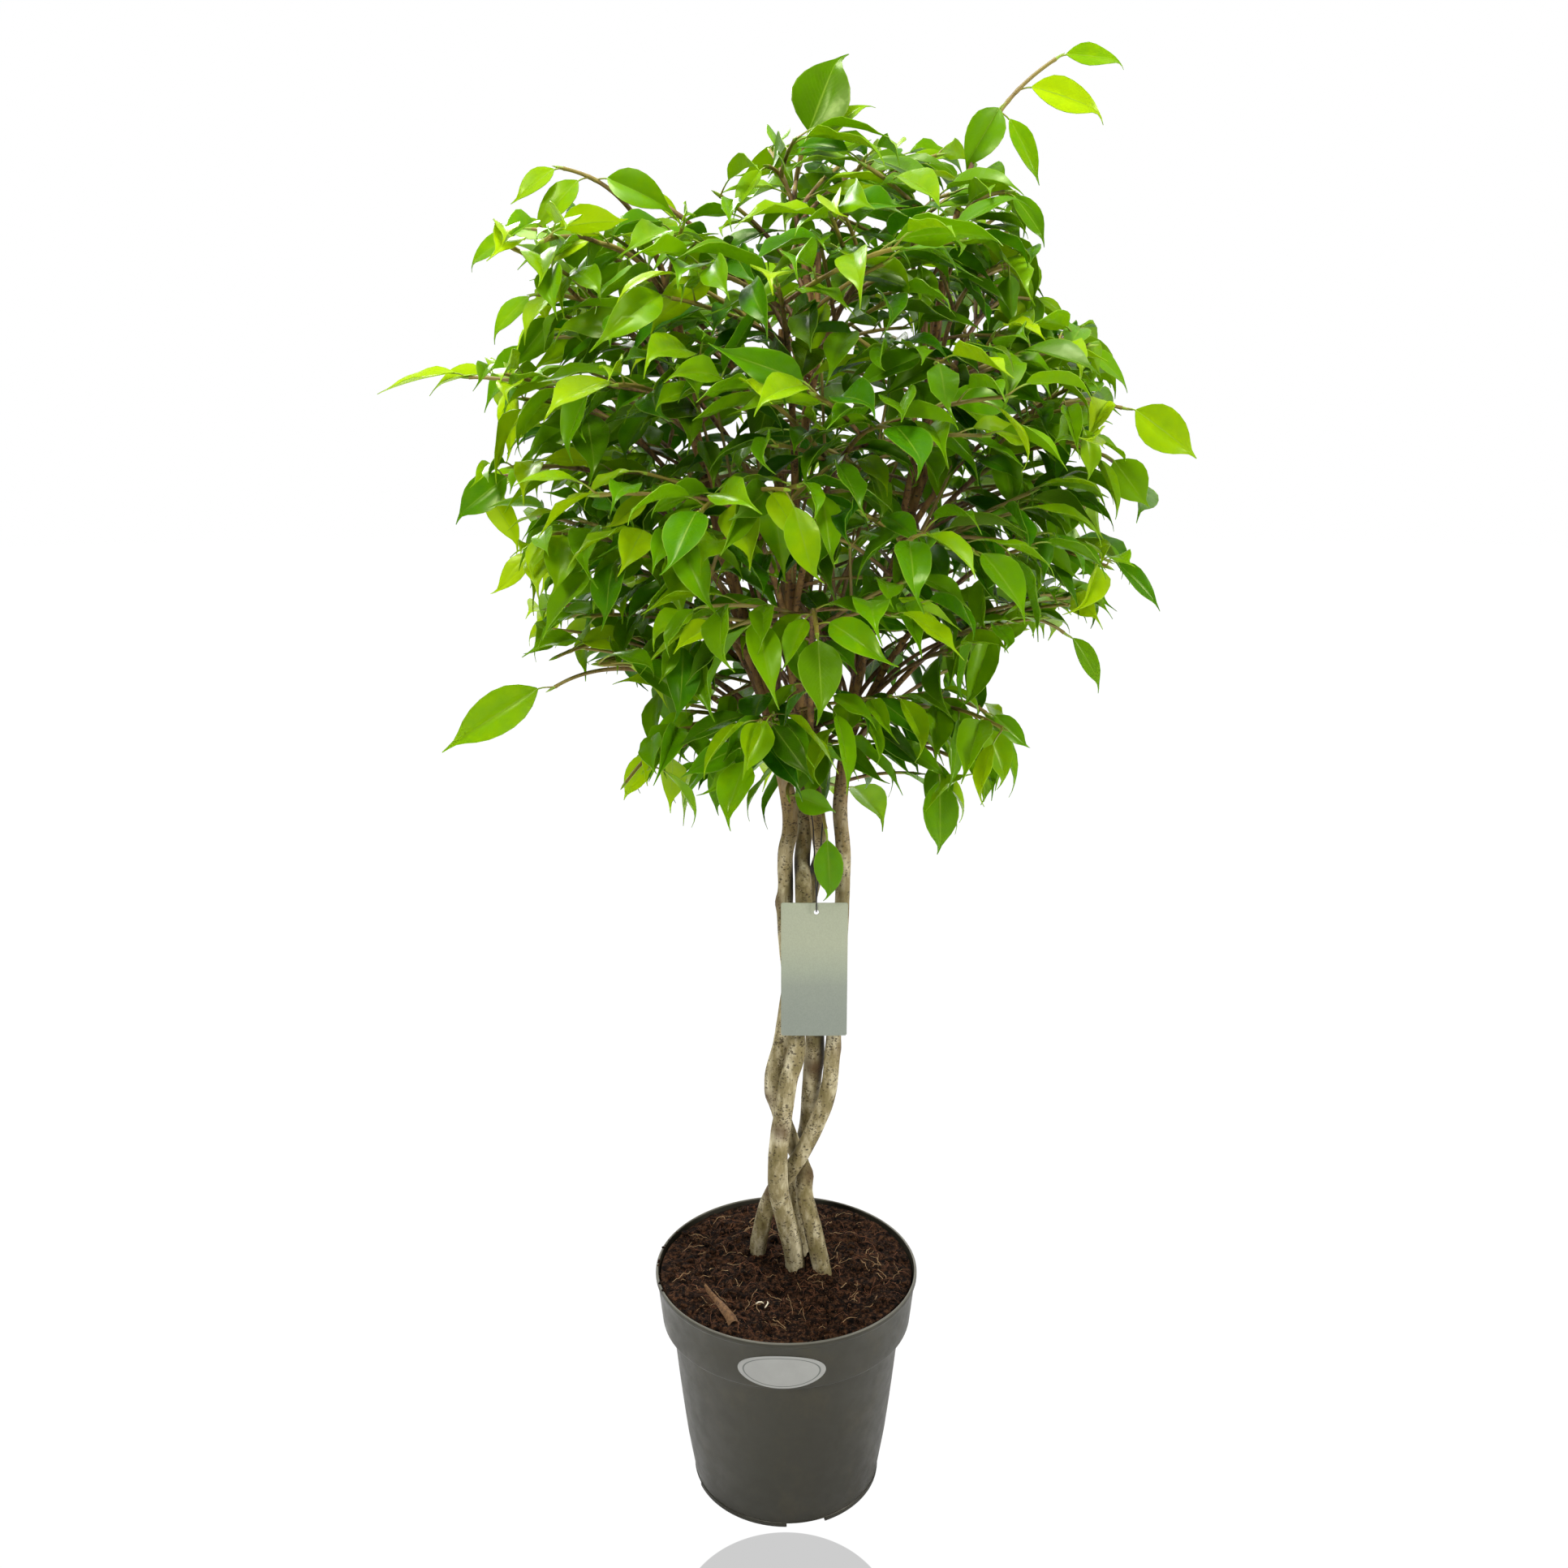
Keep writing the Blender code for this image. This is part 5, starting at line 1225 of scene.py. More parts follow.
@dataclass
class Leaf:
    """One leaf: where it leaves its twig, how it is turned, and its sizes in metres and radians."""

    root: Array
    way: Array
    normal: Array
    roll: float
    petiole: float
    length: float
    width: float
    bend: float
    fold: float
    twig: int
    terminal: bool
    place: float
    age: float = 0.5

    def sections(self, steps: Array) -> tuple[Array, Array, Array, Array]:
        """Midrib points, normals, directions and the blade's cross direction, at shares of the length."""
        side = np.cross(self.way, self.normal)
        base = self.root + unit(self.way + np.array([0, 0, 0.45])) * self.petiole
        fine = np.linspace(0, 1, 41)
        angle = self.bend * (fine[:-1] + 0.0)
        here = np.outer(np.cos(angle), self.way) - np.outer(np.sin(angle), self.normal)
        line = base + np.vstack([np.zeros(3), np.cumsum(here * self.length / 40, axis=0)])
        points = np.column_stack([np.interp(steps, fine, line[:, k]) for k in range(3)])
        a = self.bend * np.asarray(steps)
        face = np.outer(np.cos(a), self.normal) + np.outer(np.sin(a), self.way)
        along = np.outer(np.cos(a), self.way) - np.outer(np.sin(a), self.normal)
        return points, face, along, side

    def aim(self, tip: Array, lean: float, width: float) -> None:
        """Point the leaf at its tip's place, with its face between upward and frontal."""
        aim = tip - self.root
        reach = float(np.linalg.norm(aim))
        self.petiole = min(0.15 * reach, 0.012)
        self.length = 1.05 * reach - self.petiole
        self.width = width * self.length
        self.way = unit(aim)
        self.bend = 0.30
        facing = np.array([0.0, -lean, 1.0 - lean])
        self.normal = unit(facing - self.way * np.dot(facing, self.way))

    def turn_inward(self) -> bool:
        """Turn the leaf until it shows inside the crown's outline; False if no turn helps."""
        way, normal = self.way, self.normal
        for degrees in (0, 50, -50, 100, -100, 150):
            self.way = turn(way, UP, math.radians(degrees))
            self.normal = turn(normal, UP, math.radians(degrees))
            middle, tip = self.sections(np.array([0.5, 1.0]))[0]
            if within_outline(middle) and within_outline(tip):
                return True
        return False

    def sheet(self) -> BVHTree:
        """A coarse sheet of the blade, to test whether it crosses anything."""
        steps = np.array([0.02, 0.2, 0.4, 0.7, 1.0])
        points, face, _, side = self.sections(steps)
        half = self.width * np.array([0.25, 0.85, 1.0, 0.65, 0.04])[:, None]
        up, across = math.sin(self.fold) * half, math.cos(self.fold) * half
        left, right = points - side * across + face * up, points + side * across + face * up
        verts = np.vstack([left, points, right])
        faces = [(k + r, k + r + 1, k + r + 6, k + r + 5) for r in (0, 5) for k in range(4)]
        return BVHTree.FromPolygons([Vector(v) for v in verts], faces)


@dataclass
class Twig:
    """A thin shoot: its line, its radii and its order, 0 for a main twig and 1 for a side twig."""

    points: Array
    radii: Array
    order: int


@dataclass
class Shoot:
    """A limb with the leafy twigs that it carries."""

    strand: Strand
    limb: Line
    way: Array
    twigs: list[Twig]
    leaves: list[Leaf]


@dataclass
class Growth:
    """The seeded rule by which the crown grows."""

    seed: int = 4217
    centre: tuple[float, float, float] = (0.008, 0.0, 0.790)
    spiral: int = 32
    split: float = 0.40
    gap: float = 0.0003
    bare_branches: int = 6
    placed: list = field(default_factory=list)
    leaders: dict = field(default_factory=dict)

    def tips(self) -> list[tuple[Strand, Array, Array, int, float, float]]:
        """Strand, twig end, last leaf's tip, side twigs, lean and width of each shoot, outline ones first."""
        tips = [(s, np.array(a) * MM, np.array(b) * MM, n, lean, w) for s, a, b, n, lean, w in OUTLINE_SHOOTS]
        rng = random.Random(self.seed)
        for i in range(self.spiral):
            z = 0.90 - 1.42 * (i + 0.5) / self.spiral
            azimuth = i * 2.399963 + 0.4
            ring = math.sqrt(1 - z * z)
            way = np.array([math.cos(azimuth) * ring, math.sin(azimuth) * ring, z])
            reach = 0.93 + 0.14 * rng.random()
            if abs(way[1]) < 0.42:
                continue
            tip = np.array(self.centre) + way * np.array([0.195, 0.190, 0.205]) * reach
            if tip[2] < 0.70 and tip[0] > 0.03 or tip[2] < 0.68 and tip[0] < -0.10:
                continue
            if abs(way[0]) < 0.5:
                strand = Strand.A if way[1] < 0 else Strand.C
            else:
                strand = Strand.B if way[0] < 0 else Strand.D
            fall = unit(way + np.array([0, 0, -0.55])) * 0.060
            for _ in range(8):
                if within_outline(tip) and within_outline(tip + fall):
                    break
                tip = np.array(self.centre) + (tip - np.array(self.centre)) * 0.93
            tips.append((strand, tip, tip + fall, 3, 0.3, 0.25))
        return tips

    def control_points(self, tip: Array, last: Array, leader: Array, rng: random.Random) -> tuple:
        """Control points of one shoot, from its leader in the crown out to the twig's end."""
        at = leader[np.argmin(abs(leader[:, 2] - 0.72))]
        reach = np.linalg.norm(tip[:2] - at[:2])
        z = min(max(tip[2] - 0.62 * reach - 0.045, 0.585 + 0.03 * rng.random()), 0.885)
        z = min(z, max(tip[2] - 0.03, 0.585))
        begin = leader[np.argmin(abs(leader[:, 2] - z))][:3]
        out = unit([tip[0] - self.centre[0], tip[1] - self.centre[1], 0.0])
        level = (tip[2] - 0.78) / 0.25
        lift = math.radians(-18 + 58 * level if level > 0 else -18 + 26 * level)
        end = unit(out * math.cos(lift) + UP * math.sin(lift) + 0.6 * unit(last - tip))
        dist = np.linalg.norm(tip - begin)
        return begin, begin + UP * 0.30 * dist + unit(tip - begin) * 0.16 * dist, tip - end * 0.36 * dist, tip

    def level_normal(self, way: Array, roll: float) -> Array:
        """Upward normal of a blade that points along way, rolled about it."""
        flat = UP - way * np.dot(UP, way)
        if np.linalg.norm(flat) < 0.12:
            out = np.array([0.0, -1.0, 0.2])
            flat = out - way * np.dot(out, way)
        return turn(unit(flat), way, roll)

    def leaf(
        self, root: Array, tangent: Array, sign: int, twig: int, terminal: bool, at: float, rng: random.Random
    ) -> Leaf:
        """One leaf that leaves its twig at root."""
        flat = np.array([tangent[0], tangent[1], 0.0])
        if np.linalg.norm(flat) < 0.35:
            spread = np.array([root[0] - self.centre[0], root[1] - self.centre[1], 0.0])
            flat = unit(flat) * 0.5 + unit(spread + 1e-6) * 0.5
        flat = unit(flat)
        yaw = math.radians(rng.uniform(38, 72)) * sign
        if terminal:
            yaw = math.radians(rng.uniform(-15, 15))
        level = (root[2] - 0.58) / 0.45
        pitch = math.radians(-44 + 42 * max(0.0, min(1.0, level)) + rng.gauss(0, 14))
        pitch = max(pitch, math.radians(-78))
        flat = turn(flat, UP, yaw)
        way = flat * math.cos(pitch) + UP * math.sin(pitch)
        size = 0.050 + rng.uniform(-0.009, 0.009) - (0.007 if terminal and twig else 0.0)
        roll = math.radians(sign * 8 + rng.gauss(0, 17))
        return Leaf(
            root=root,
            way=way,
            normal=self.level_normal(way, roll),
            roll=roll,
            petiole=rng.uniform(0.011, 0.016),
            length=size,
            width=size * rng.uniform(0.235, 0.285),
            bend=rng.uniform(0.35, 0.85),
            fold=math.radians(rng.uniform(12, 30)),
            twig=twig,
            terminal=terminal,
            place=at,
        )

    def side_twig(
        self, line: Array, dirs: Array, j: int, sign: int, size: float, slope: float
    ) -> Twig | None:
        """A drooping side twig from a line's point j that ends inside the crown's outline, or None."""
        t = np.linspace(0, 1, 16)[:, None]
        for hand, share in ((sign, 1.0), (sign, 0.7), (-sign, 1.0), (-sign, 0.7), (sign, 0.45)):
            side = unit(np.cross(dirs[j], UP)) * hand
            way = unit(dirs[j] * 0.70 + side * 0.75 + UP * slope)
            points = line[j] + way * size * share * t - UP * size * share * 0.16 * t**2
            if within_outline(points[-1]):
                return Twig(points, np.linspace(0.0014, 0.0012, 16), 1)
        return None

    def leaves_of(self, twig: Twig, number: int, sides: int, rng: random.Random) -> list[Leaf]:
        """The leaves of one twig, alternating from side to side, with one at its end."""
        run, dirs = run_of(twig.points), tangents(twig.points)
        s = 0.016 + 0.01 * rng.random()
        sign = 1 if rng.random() < 0.5 else -1
        leaves = []
        while s < run[-1] - 0.006 and sides >= 0:
            j = int(np.argmin(abs(run - s)))
            leaf = self.leaf(twig.points[j], dirs[j], sign, number, False, s / run[-1], rng)
            if leaf.turn_inward():
                leaves.append(leaf)
            sign = -sign
            s += (0.0150 if sides > 0 else 0.034) * (0.8 + 0.4 * rng.random())
        leaf = self.leaf(twig.points[-1], dirs[-1], sign, number, True, 1.0, rng)
        if number == 0 or leaf.turn_inward():
            leaves.append(leaf)
        return leaves

    def shoot(
        self, index: int, strand: Strand, tip: Array, last: Array, sides: int, lean: float, width: float
    ) -> Shoot:
        """One shoot: its woody limb, its twig, the side twigs and every leaf."""
        rng = random.Random(self.seed + 31 * index)
        p0, p1, p2, p3 = self.control_points(tip, last, self.leaders[strand], rng)
        sample = np.linspace(0, 1, 60)
        best = None
        for attempt in range(40):
            scale = 0.0025 * attempt
            j1 = np.array([rng.uniform(-1, 1) for _ in range(3)]) * scale
            j2 = np.array([rng.uniform(-1, 1) for _ in range(3)]) * scale
            line = cubic(p0, p1 + j1, p2 + j2, p3, sample)
            room = 1.0
            for other, points, keep in self.placed:
                mine = line[14:] if other == strand else line
                room = min(room, np.min(np.linalg.norm(mine[:, None] - points[None, keep:], axis=2)))
            if best is None or room > best[0]:
                best = (room, j1, j2)
            if room > 0.0065:
                break
        _, j1, j2 = best
        curve = (p0, p1 + j1, p2 + j2, p3)
        limb = cubic(*curve, np.linspace(0, self.split, 14))
        base_radius = 0.0030 if strand in (Strand.B, Strand.D) else 0.0027
        limb_radii = np.linspace(base_radius, 0.0021, 14)
        fine = cubic(*curve, np.linspace(self.split, 1, 40))
        run = run_of(fine)
        forward = unit(fine[1] - fine[0])
        fine[0] = fine[0] + forward * self.gap
        self.placed.append((strand, cubic(*curve, sample), 14))
        length = run[-1]
        twigs = [Twig(fine, np.interp(run, [0, length], [0.0020, 0.0013]), 0)]
        dirs = tangents(fine)
        for k in range(max(0, sides)):
            s = length * (0.20 + 0.60 * k / sides + 0.06 * rng.random())
            j = int(np.argmin(abs(run - s)))
            size = (0.100, 0.085, 0.070)[k] * (0.85 + 0.3 * rng.random())
            slope = 0.10 + 0.25 * rng.uniform(-1, 1)
            twig = self.side_twig(fine, dirs, j, 1 if (k + index) % 2 else -1, size, slope)
            if twig:
                twigs.append(twig)
        leaves = []
        for number, twig in enumerate(twigs):
            leaves += self.leaves_of(twig, number, sides, rng)
            if number == 0:
                leaves[-1].aim(last, lean, width)
        for owner, share, end, its_lean, its_width in NAMED_LEAVES:
            if owner == index:
                j = int(np.argmin(abs(run / length - share)))
                leaf = self.leaf(fine[j], tangents(fine)[j], 1, 0, False, 9.0, rng)
                leaf.aim(np.array(end) * MM, its_lean, its_width)
                leaves.append(leaf)
        return Shoot(strand, (limb, limb_radii), forward, twigs, leaves)

    def thicken(self, index: int, shoot: Shoot, sides: int) -> None:
        """More side twigs with their leaves, on shoots that already have some."""
        rng = random.Random(self.seed + 9000 + index)
        main = shoot.twigs[0].points
        dirs, run = tangents(main), run_of(main)
        for k in range({3: 3, 2: 3, 1: 2}.get(sides, 0)):
            s = run[-1] * (0.06 + 0.66 * (k + rng.random()) / max(1, sides))
            j = int(np.argmin(abs(run - s)))
            sign = -1 if (k + index) % 2 else 1
            size = rng.uniform(0.055, 0.095)
            twig = self.side_twig(main, dirs, j, sign, size, 0.10 + 0.25 * rng.uniform(-1, 1))
            if twig:
                shoot.twigs.append(twig)
                shoot.leaves += self.leaves_of(twig, len(shoot.twigs) - 1, 3, rng)

    def inner_twigs(self, strand: Strand) -> Shoot:
        """Short leafy twigs that leave a strand itself, all round and up to the crown's top."""
        rng = random.Random(self.seed + 500 + ord(strand.name))
        line = self.leaders[strand][:, :3]
        run = run_of(line)
        shoot = Shoot(strand, (line[:1], np.zeros(1)), UP, [], [])
        s, azimuth = 0.020, rng.uniform(0, 2 * math.pi)
        while s < run[-1] - 0.02:
            j = int(np.argmin(abs(run - s)))
            way = unit([math.cos(azimuth), math.sin(azimuth), rng.uniform(-0.05, 0.55)])
            size = rng.uniform(0.050, 0.095)
            t = np.linspace(0, 1, 16)[:, None]
            points = line[j] + way * size * t - UP * size * 0.20 * t**2
            if within_outline(points[-1]):
                shoot.twigs.append(Twig(points, np.linspace(0.0015, 0.0011, 16), 1))
                shoot.leaves += self.leaves_of(shoot.twigs[-1], len(shoot.twigs) - 1, 3, rng)
            s += rng.uniform(0.016, 0.030)
            azimuth += GOLDEN_ANGLE
        for owner, z, tip in FILLERS:
            if owner is strand:
                self.filler(shoot, line[np.argmin(abs(line[:, 2] - z * MM))], np.array(tip) * MM, rng)
        for _ in range(self.bare_branches):
            j = int(np.argmin(abs(run - rng.uniform(0.01, 0.09))))
            end = np.array([rng.uniform(-0.09, 0.12), rng.uniform(-0.10, 0.08), rng.uniform(0.74, 0.90)])
            rise = end[2] - line[j, 2]
            into = unit(end - line[j] + UP * 0.1)
            curve = (line[j], line[j] + UP * 0.35 * rise, end - into * 0.4 * rise, end)
            shoot.twigs.append(Twig(cubic(*curve, np.linspace(0, 1, 20)), np.linspace(0.0017, 0.0010, 20), 0))
        return shoot

    def filler(self, shoot: Shoot, root: Array, tip: Array, rng: random.Random) -> None:
        """One leafy twig from a strand out to a tip, bare in its first half, with two side twigs."""
        dist = float(np.linalg.norm(tip - root))
        out = unit(np.array([tip[0] - self.centre[0], tip[1] - self.centre[1], 0.0]) + UP * 0.02)
        rise = root + UP * 0.25 * dist + unit(tip - root) * 0.2 * dist
        line = cubic(root, rise, tip - out * 0.35 * dist, tip, np.linspace(0, 1, 28))
        shoot.twigs.append(Twig(line, np.linspace(0.0020, 0.0011, 28), 0))
        shoot.leaves += self.leaves_of(Twig(line[13:], np.zeros(15), 0), len(shoot.twigs) - 1, 3, rng)
        dirs = tangents(line)
        for j, sign in ((15, 1), (20, -1)):
            twig = self.side_twig(line, dirs, j, sign, rng.uniform(0.045, 0.070), rng.uniform(-0.1, 0.25))
            if twig:
                shoot.twigs.append(twig)
                shoot.leaves += self.leaves_of(twig, len(shoot.twigs) - 1, 3, rng)

    def grow(self) -> list[Shoot]:
        """Every shoot of the plant, bent clear of the ones before it."""
        for strand in Strand:
            line = strand.line(0.006)
            self.leaders[strand] = line[line[:, 2] > 0.56]
        self.placed = [(s, line[:, :3], 0) for s, line in self.leaders.items()]
        shoots = []
        for index, (strand, tip, last, sides, lean, width) in enumerate(self.tips()):
            shoots.append(self.shoot(index, strand, tip, last, sides, lean, width))
            self.thicken(index, shoots[-1], sides)
        return shoots


@dataclass
class Thicket:
    """Keeps the leaves out of each other and out of the wood."""

    seed: int = 311
    tries: int = 7
    # Share of the leaves that the low front of the crown has lost, so that its limbs show.
    bare: float = 0.20
    # How far a leaf may reach to the front or back.
    depth: float = 0.238
    boxes: list = field(default_factory=list)
    trees: list = field(default_factory=list)

    def box_of(self, leaf: Leaf) -> Array:
        """Lowest and highest corner of the space that a leaf may fill."""
        points, _, _, _ = leaf.sections(np.array([0.0, 0.5, 1.0]))
        return np.concatenate([points.min(0) - leaf.width, points.max(0) + leaf.width])

    def clear(self, box: Array, tree: BVHTree) -> bool:
        """Whether a leaf's sheet crosses nothing that is already there."""
        if not self.boxes:
            return True
        boxes = np.array(self.boxes)
        near = np.all(boxes[:, :3] <= box[3:], axis=1) & np.all(boxes[:, 3:] >= box[:3], axis=1)
        return not any(tree.overlap(self.trees[i]) for i in np.nonzero(near)[0])

    def settle(self, leaf: Leaf, rng: random.Random, growth: Growth) -> bool:
        """Turn a leaf until it crosses nothing, and keep its place.

        Args:
            leaf: the leaf, which is changed.
            rng: the seeded numbers for the turns.
            growth: the rule that gives a turned leaf its normal.

        Returns:
            False if no turn helped, and the leaf is left out.
        """
        if leaf.place < 9 and not (leaf.terminal and leaf.twig == 0):
            leaf.fold *= rng.uniform(0.8, 1.9)
            out = unit(leaf.root * (1, 1, 0) - (0.008, 0.0, 0.0) + 1e-6)
            leaf.way = unit(leaf.way + 0.34 * out + 0.16 * UP)
            leaf.normal = turn(growth.level_normal(leaf.way, leaf.roll), leaf.way, rng.gauss(0, 0.30))
            outer = min(1.1, float(np.linalg.norm((leaf.root - (0.008, 0.0, 0.800)) / (0.26, 0.22, 0.27))))
            leaf.length *= rng.uniform(0.88, 1.14) * (0.88 + 0.22 * outer)
            leaf.width *= rng.uniform(0.74, 0.98) * (0.86 + 0.16 * outer)
            leaf.bend *= 0.75
        way, length = leaf.way, leaf.length
        free = leaf.place > 8 or (leaf.terminal and leaf.twig == 0)
        for attempt in range(self.tries):
            box, tree = self.box_of(leaf), leaf.sheet()
            tip = leaf.sections(np.array([0.4, 0.9]))[0][1]
            inside = free or (abs(tip[1]) < self.depth and within_outline(tip))
            if inside and self.clear(box, tree):
                self.boxes.append(box)
                self.trees.append(tree)
                return True
            spread = 0.14 * (attempt + 1)
            leaf.way = unit(way + np.array([rng.gauss(0, spread) for _ in range(3)]))
            leaf.length = length * (1 - 0.04 * attempt)
            leaf.normal = growth.level_normal(leaf.way, leaf.roll + rng.gauss(0, 0.4))
        return False

    def fill(self, shoots: list[Shoot], growth: Growth) -> int:
        """Settle all leaves, the ends of twigs first; those without room are left out."""
        rng = random.Random(self.seed)
        kept = 0
        first = [(s, leaf) for s in shoots for leaf in s.leaves if leaf.terminal]
        rest = [(s, leaf) for s in shoots for leaf in s.leaves if not leaf.terminal]
        rest.sort(key=lambda pair: -pair[1].place)
        for shoot in shoots:
            shoot.leaves = []
        for shoot, leaf in first + rest:
            x, y, z = leaf.root
            low_front = abs(x - 0.02) < 0.10 and y < 0.04 and z < 0.81
            if not leaf.terminal and low_front and rng.random() < self.bare:
                continue
            if self.settle(leaf, rng, growth):
                shoot.leaves.append(leaf)
                kept += 1
        return kept


@dataclass
class BladePattern:
    """The one modelled blade that every leaf is bent from: x across, y along, z through, all in shares."""

    columns: int = 6
    rows: int = 11
    half_thickness: float = 0.0002
    stations: tuple = (0.0, 0.04, 0.11, 0.21, 0.33, 0.45, 0.57, 0.68, 0.77, 0.85, 0.93, 1.0)
    widths: tuple = (0.06, 0.28, 0.60, 0.88, 1.0, 0.97, 0.83, 0.59, 0.32, 0.13, 0.060, 0.02)

    def model(self) -> None:
        """Model the blade as a thickened grid, and keep its shape as arrays."""
        bpy.ops.mesh.primitive_grid_add(x_subdivisions=self.columns, y_subdivisions=self.rows, size=2)
        blade = bpy.context.object
        apply_modifier(blade, "SOLIDIFY", thickness=1.0, offset=0.0)
        tidy_faces(blade)
        co = positions(blade.data)
        self.across = co[:, 0]
        self.through = np.sign(co[:, 2])
        rows = np.clip(np.round((co[:, 1] + 1) / 2 * self.rows), 0, self.rows).astype(int)
        self.along = np.array(self.stations)[rows]
        self.half = np.array(self.widths)[rows]
        self.faces = [tuple(p.vertices) for p in blade.data.polygons]
        flat = [all(self.through[v] > 0 for v in f) for f in self.faces]
        self.slots = [0 if up else 1 for up in flat]
        bpy.data.objects.remove(blade)

    def bend(self, leaf: Leaf, rng: random.Random) -> Array:
        """The blade's vertices on one leaf: folded, waved, twisted and hooked at the tip."""
        points, face, _, side = leaf.sections(self.along)
        u = self.across
        reach = np.abs(u)
        twist = rng.gauss(0, 0.22) * self.along
        phase, waves, amount = rng.uniform(0, 6.28), rng.uniform(1.2, 2.2), rng.uniform(0.010, 0.050)
        if leaf.place > 8 or (leaf.terminal and leaf.twig == 0):
            amount *= 0.35
        hook = rng.uniform(-0.13, 0.13)
        w = leaf.width * self.half
        rise = math.sin(leaf.fold) * w * reach * (1.30 - 0.42 * reach)
        wave = np.sin(2 * math.pi * waves * self.along + phase * np.sign(u))
        rise += leaf.length * amount * reach**2 * self.half * wave
        wide = math.cos(leaf.fold) * w * u
        tail = np.clip((self.along - 0.72) / 0.28, 0, 1) ** 2
        wide = wide + leaf.length * hook * tail
        drop = -leaf.length * rng.uniform(0.0, 0.18) * tail
        across = side * np.cos(twist)[:, None] + face * np.sin(twist)[:, None]
        up = face * np.cos(twist)[:, None] - side * np.sin(twist)[:, None]
        lean = math.sin(leaf.fold) * np.sign(u)[:, None]
        thick = unit_rows(up - across * lean) * (self.half_thickness * self.through)[:, None]
        return points + across * wide[:, None] + up * rise[:, None] + face * drop[:, None] + thick


def unit_rows(rows: Array) -> Array:
    """Each row at length one."""
    return rows / np.linalg.norm(rows, axis=1)[:, None]


@dataclass
class Crown:
    """All leafy twigs, each a piece that stands for its spray."""

    growth: Growth
    pattern: BladePattern
    centre: tuple[float, float, float] = (0.008, 0.0, 0.800)
    reach: tuple[float, float, float] = (0.26, 0.22, 0.27)

    def age_and_shade_of(self, leaf: Leaf, rng: random.Random) -> float:
        """How old a leaf is, with painted light and shade: the ones at the tips and on the crown's skin are
        young and light, inner ones older and painted shaded.
        """
        out = np.linalg.norm((leaf.root - np.array(self.centre)) / np.array(self.reach))
        skin = max(0.0, min(1.0, (out - 0.35) / 0.65))
        place = min(1.0, leaf.place)
        if leaf.terminal and leaf.root[2] > 1.012 and leaf.root[0] < 0.05:
            return 0.80
        # Leaves on the left, where the light comes from, are painted yellower: painted light.
        painted_light_left = 0.20 * max(0.0, min(1.0, (0.02 - leaf.root[0]) / 0.16))
        return min(0.98, max(0.02, 0.93 - 0.46 * skin - 0.20 * place - painted_light_left + rng.gauss(0, 0.20)))

    def petiole_line(self, leaf: Leaf) -> Line:
        """The leaf's stalk, bent from the twig into the blade."""
        lift = unit(leaf.way + np.array([0, 0, 0.45]))
        base = leaf.root + lift * leaf.petiole
        side = np.cross(leaf.way, leaf.normal)
        reach = leaf.petiole * 0.4
        into = base - leaf.way * reach * 0.7
        line = cubic(leaf.root, leaf.root + lift * reach, into, base + leaf.way * 0.003, np.linspace(0, 1, 6))
        line[-1] = line[-1] - leaf.normal * 0.0001 + side * 0
        return line, np.array([0.00085, 0.00062, 0.00055, 0.00055, 0.00060, 0.00035])

    def bud_line(self, twig: Twig) -> Line:
        """The pointed sheath at a twig's end."""
        way = unit(twig.points[-1] - twig.points[-2])
        line = twig.points[-1] + np.outer(np.array([-0.001, 0.001, 0.004, 0.0075]), way)
        return line, np.array([0.0011, 0.0012, 0.0009, 0.00012])

    def swollen(self, twig: Twig, leaves: list[Leaf]) -> Array:
        """The twig's radii with a small swelling where each leaf leaves it."""
        radii = twig.radii.copy()
        for leaf in leaves:
            away = np.linalg.norm(twig.points - leaf.root, axis=1)
            radii = radii + 0.00028 * np.exp(-((away / 0.0018) ** 2))
        return radii

    def wood(self, name: str, shoot: Shoot) -> bpy.types.Object:
        """Twigs, stalks and buds of one shoot as one mesh, with their youth."""
        lines, youths = [], []
        for number, twig in enumerate(shoot.twigs):
            mine = [leaf for leaf in shoot.leaves if leaf.twig == number]
            lines.append((twig.points, self.swollen(twig, mine)))
            share = run_of(twig.points) / run_of(twig.points)[-1]
            youths.append(share * 0.55 if twig.order == 0 else 0.15 + 0.45 * share)
            lines.append(self.bud_line(twig))
            youths.append(np.full(4, 0.9))
        for leaf in shoot.leaves:
            lines.append(self.petiole_line(leaf))
            youths.append(np.linspace(0.6, 1.0, 6))
        wood = sweep(name, lines, 1)
        tidy_faces(wood, 0.00001)
        all_points, all_youths = np.vstack([points for points, _ in lines]), np.concatenate(youths)
        tree = KDTree(len(all_points))
        for number, point in enumerate(all_points):
            tree.insert(point, number)
        tree.balance()
        point_values(wood.data, "youth", all_youths[[tree.find(v.co)[1] for v in wood.data.vertices]])
        return wood

    def blades(self, name: str, shoot: Shoot, rng: random.Random) -> bpy.types.Object:
        """All blades of one shoot as one mesh, with their map, age with painted shade, and tone."""
        pattern = self.pattern
        count = len(pattern.across)
        verts, faces, ages, tones = [], [], [], []
        for k, leaf in enumerate(shoot.leaves):
            verts.append(pattern.bend(leaf, rng))
            faces += [tuple(v + k * count for v in f) for f in pattern.faces]
            ages.append(np.full(count, self.age_and_shade_of(leaf, rng)))
            tones.append(np.full(count, rng.random()))
        blades = from_arrays(name, np.vstack(verts), faces)
        mesh = blades.data
        point_values(mesh, "age", np.concatenate(ages))
        point_values(mesh, "tone", np.concatenate(tones))
        mesh.polygons.foreach_set("material_index", pattern.slots * len(shoot.leaves))
        loops = np.empty(len(mesh.loops), int)
        mesh.loops.foreach_get("vertex_index", loops)
        flat = np.c_[pattern.across * 0.5 + 0.5, pattern.along]
        spread = np.tile(flat, (len(shoot.leaves), 1))[loops]
        mesh.uv_layers.new(name="blade").data.foreach_set("uv", spread.ravel())
        return blades

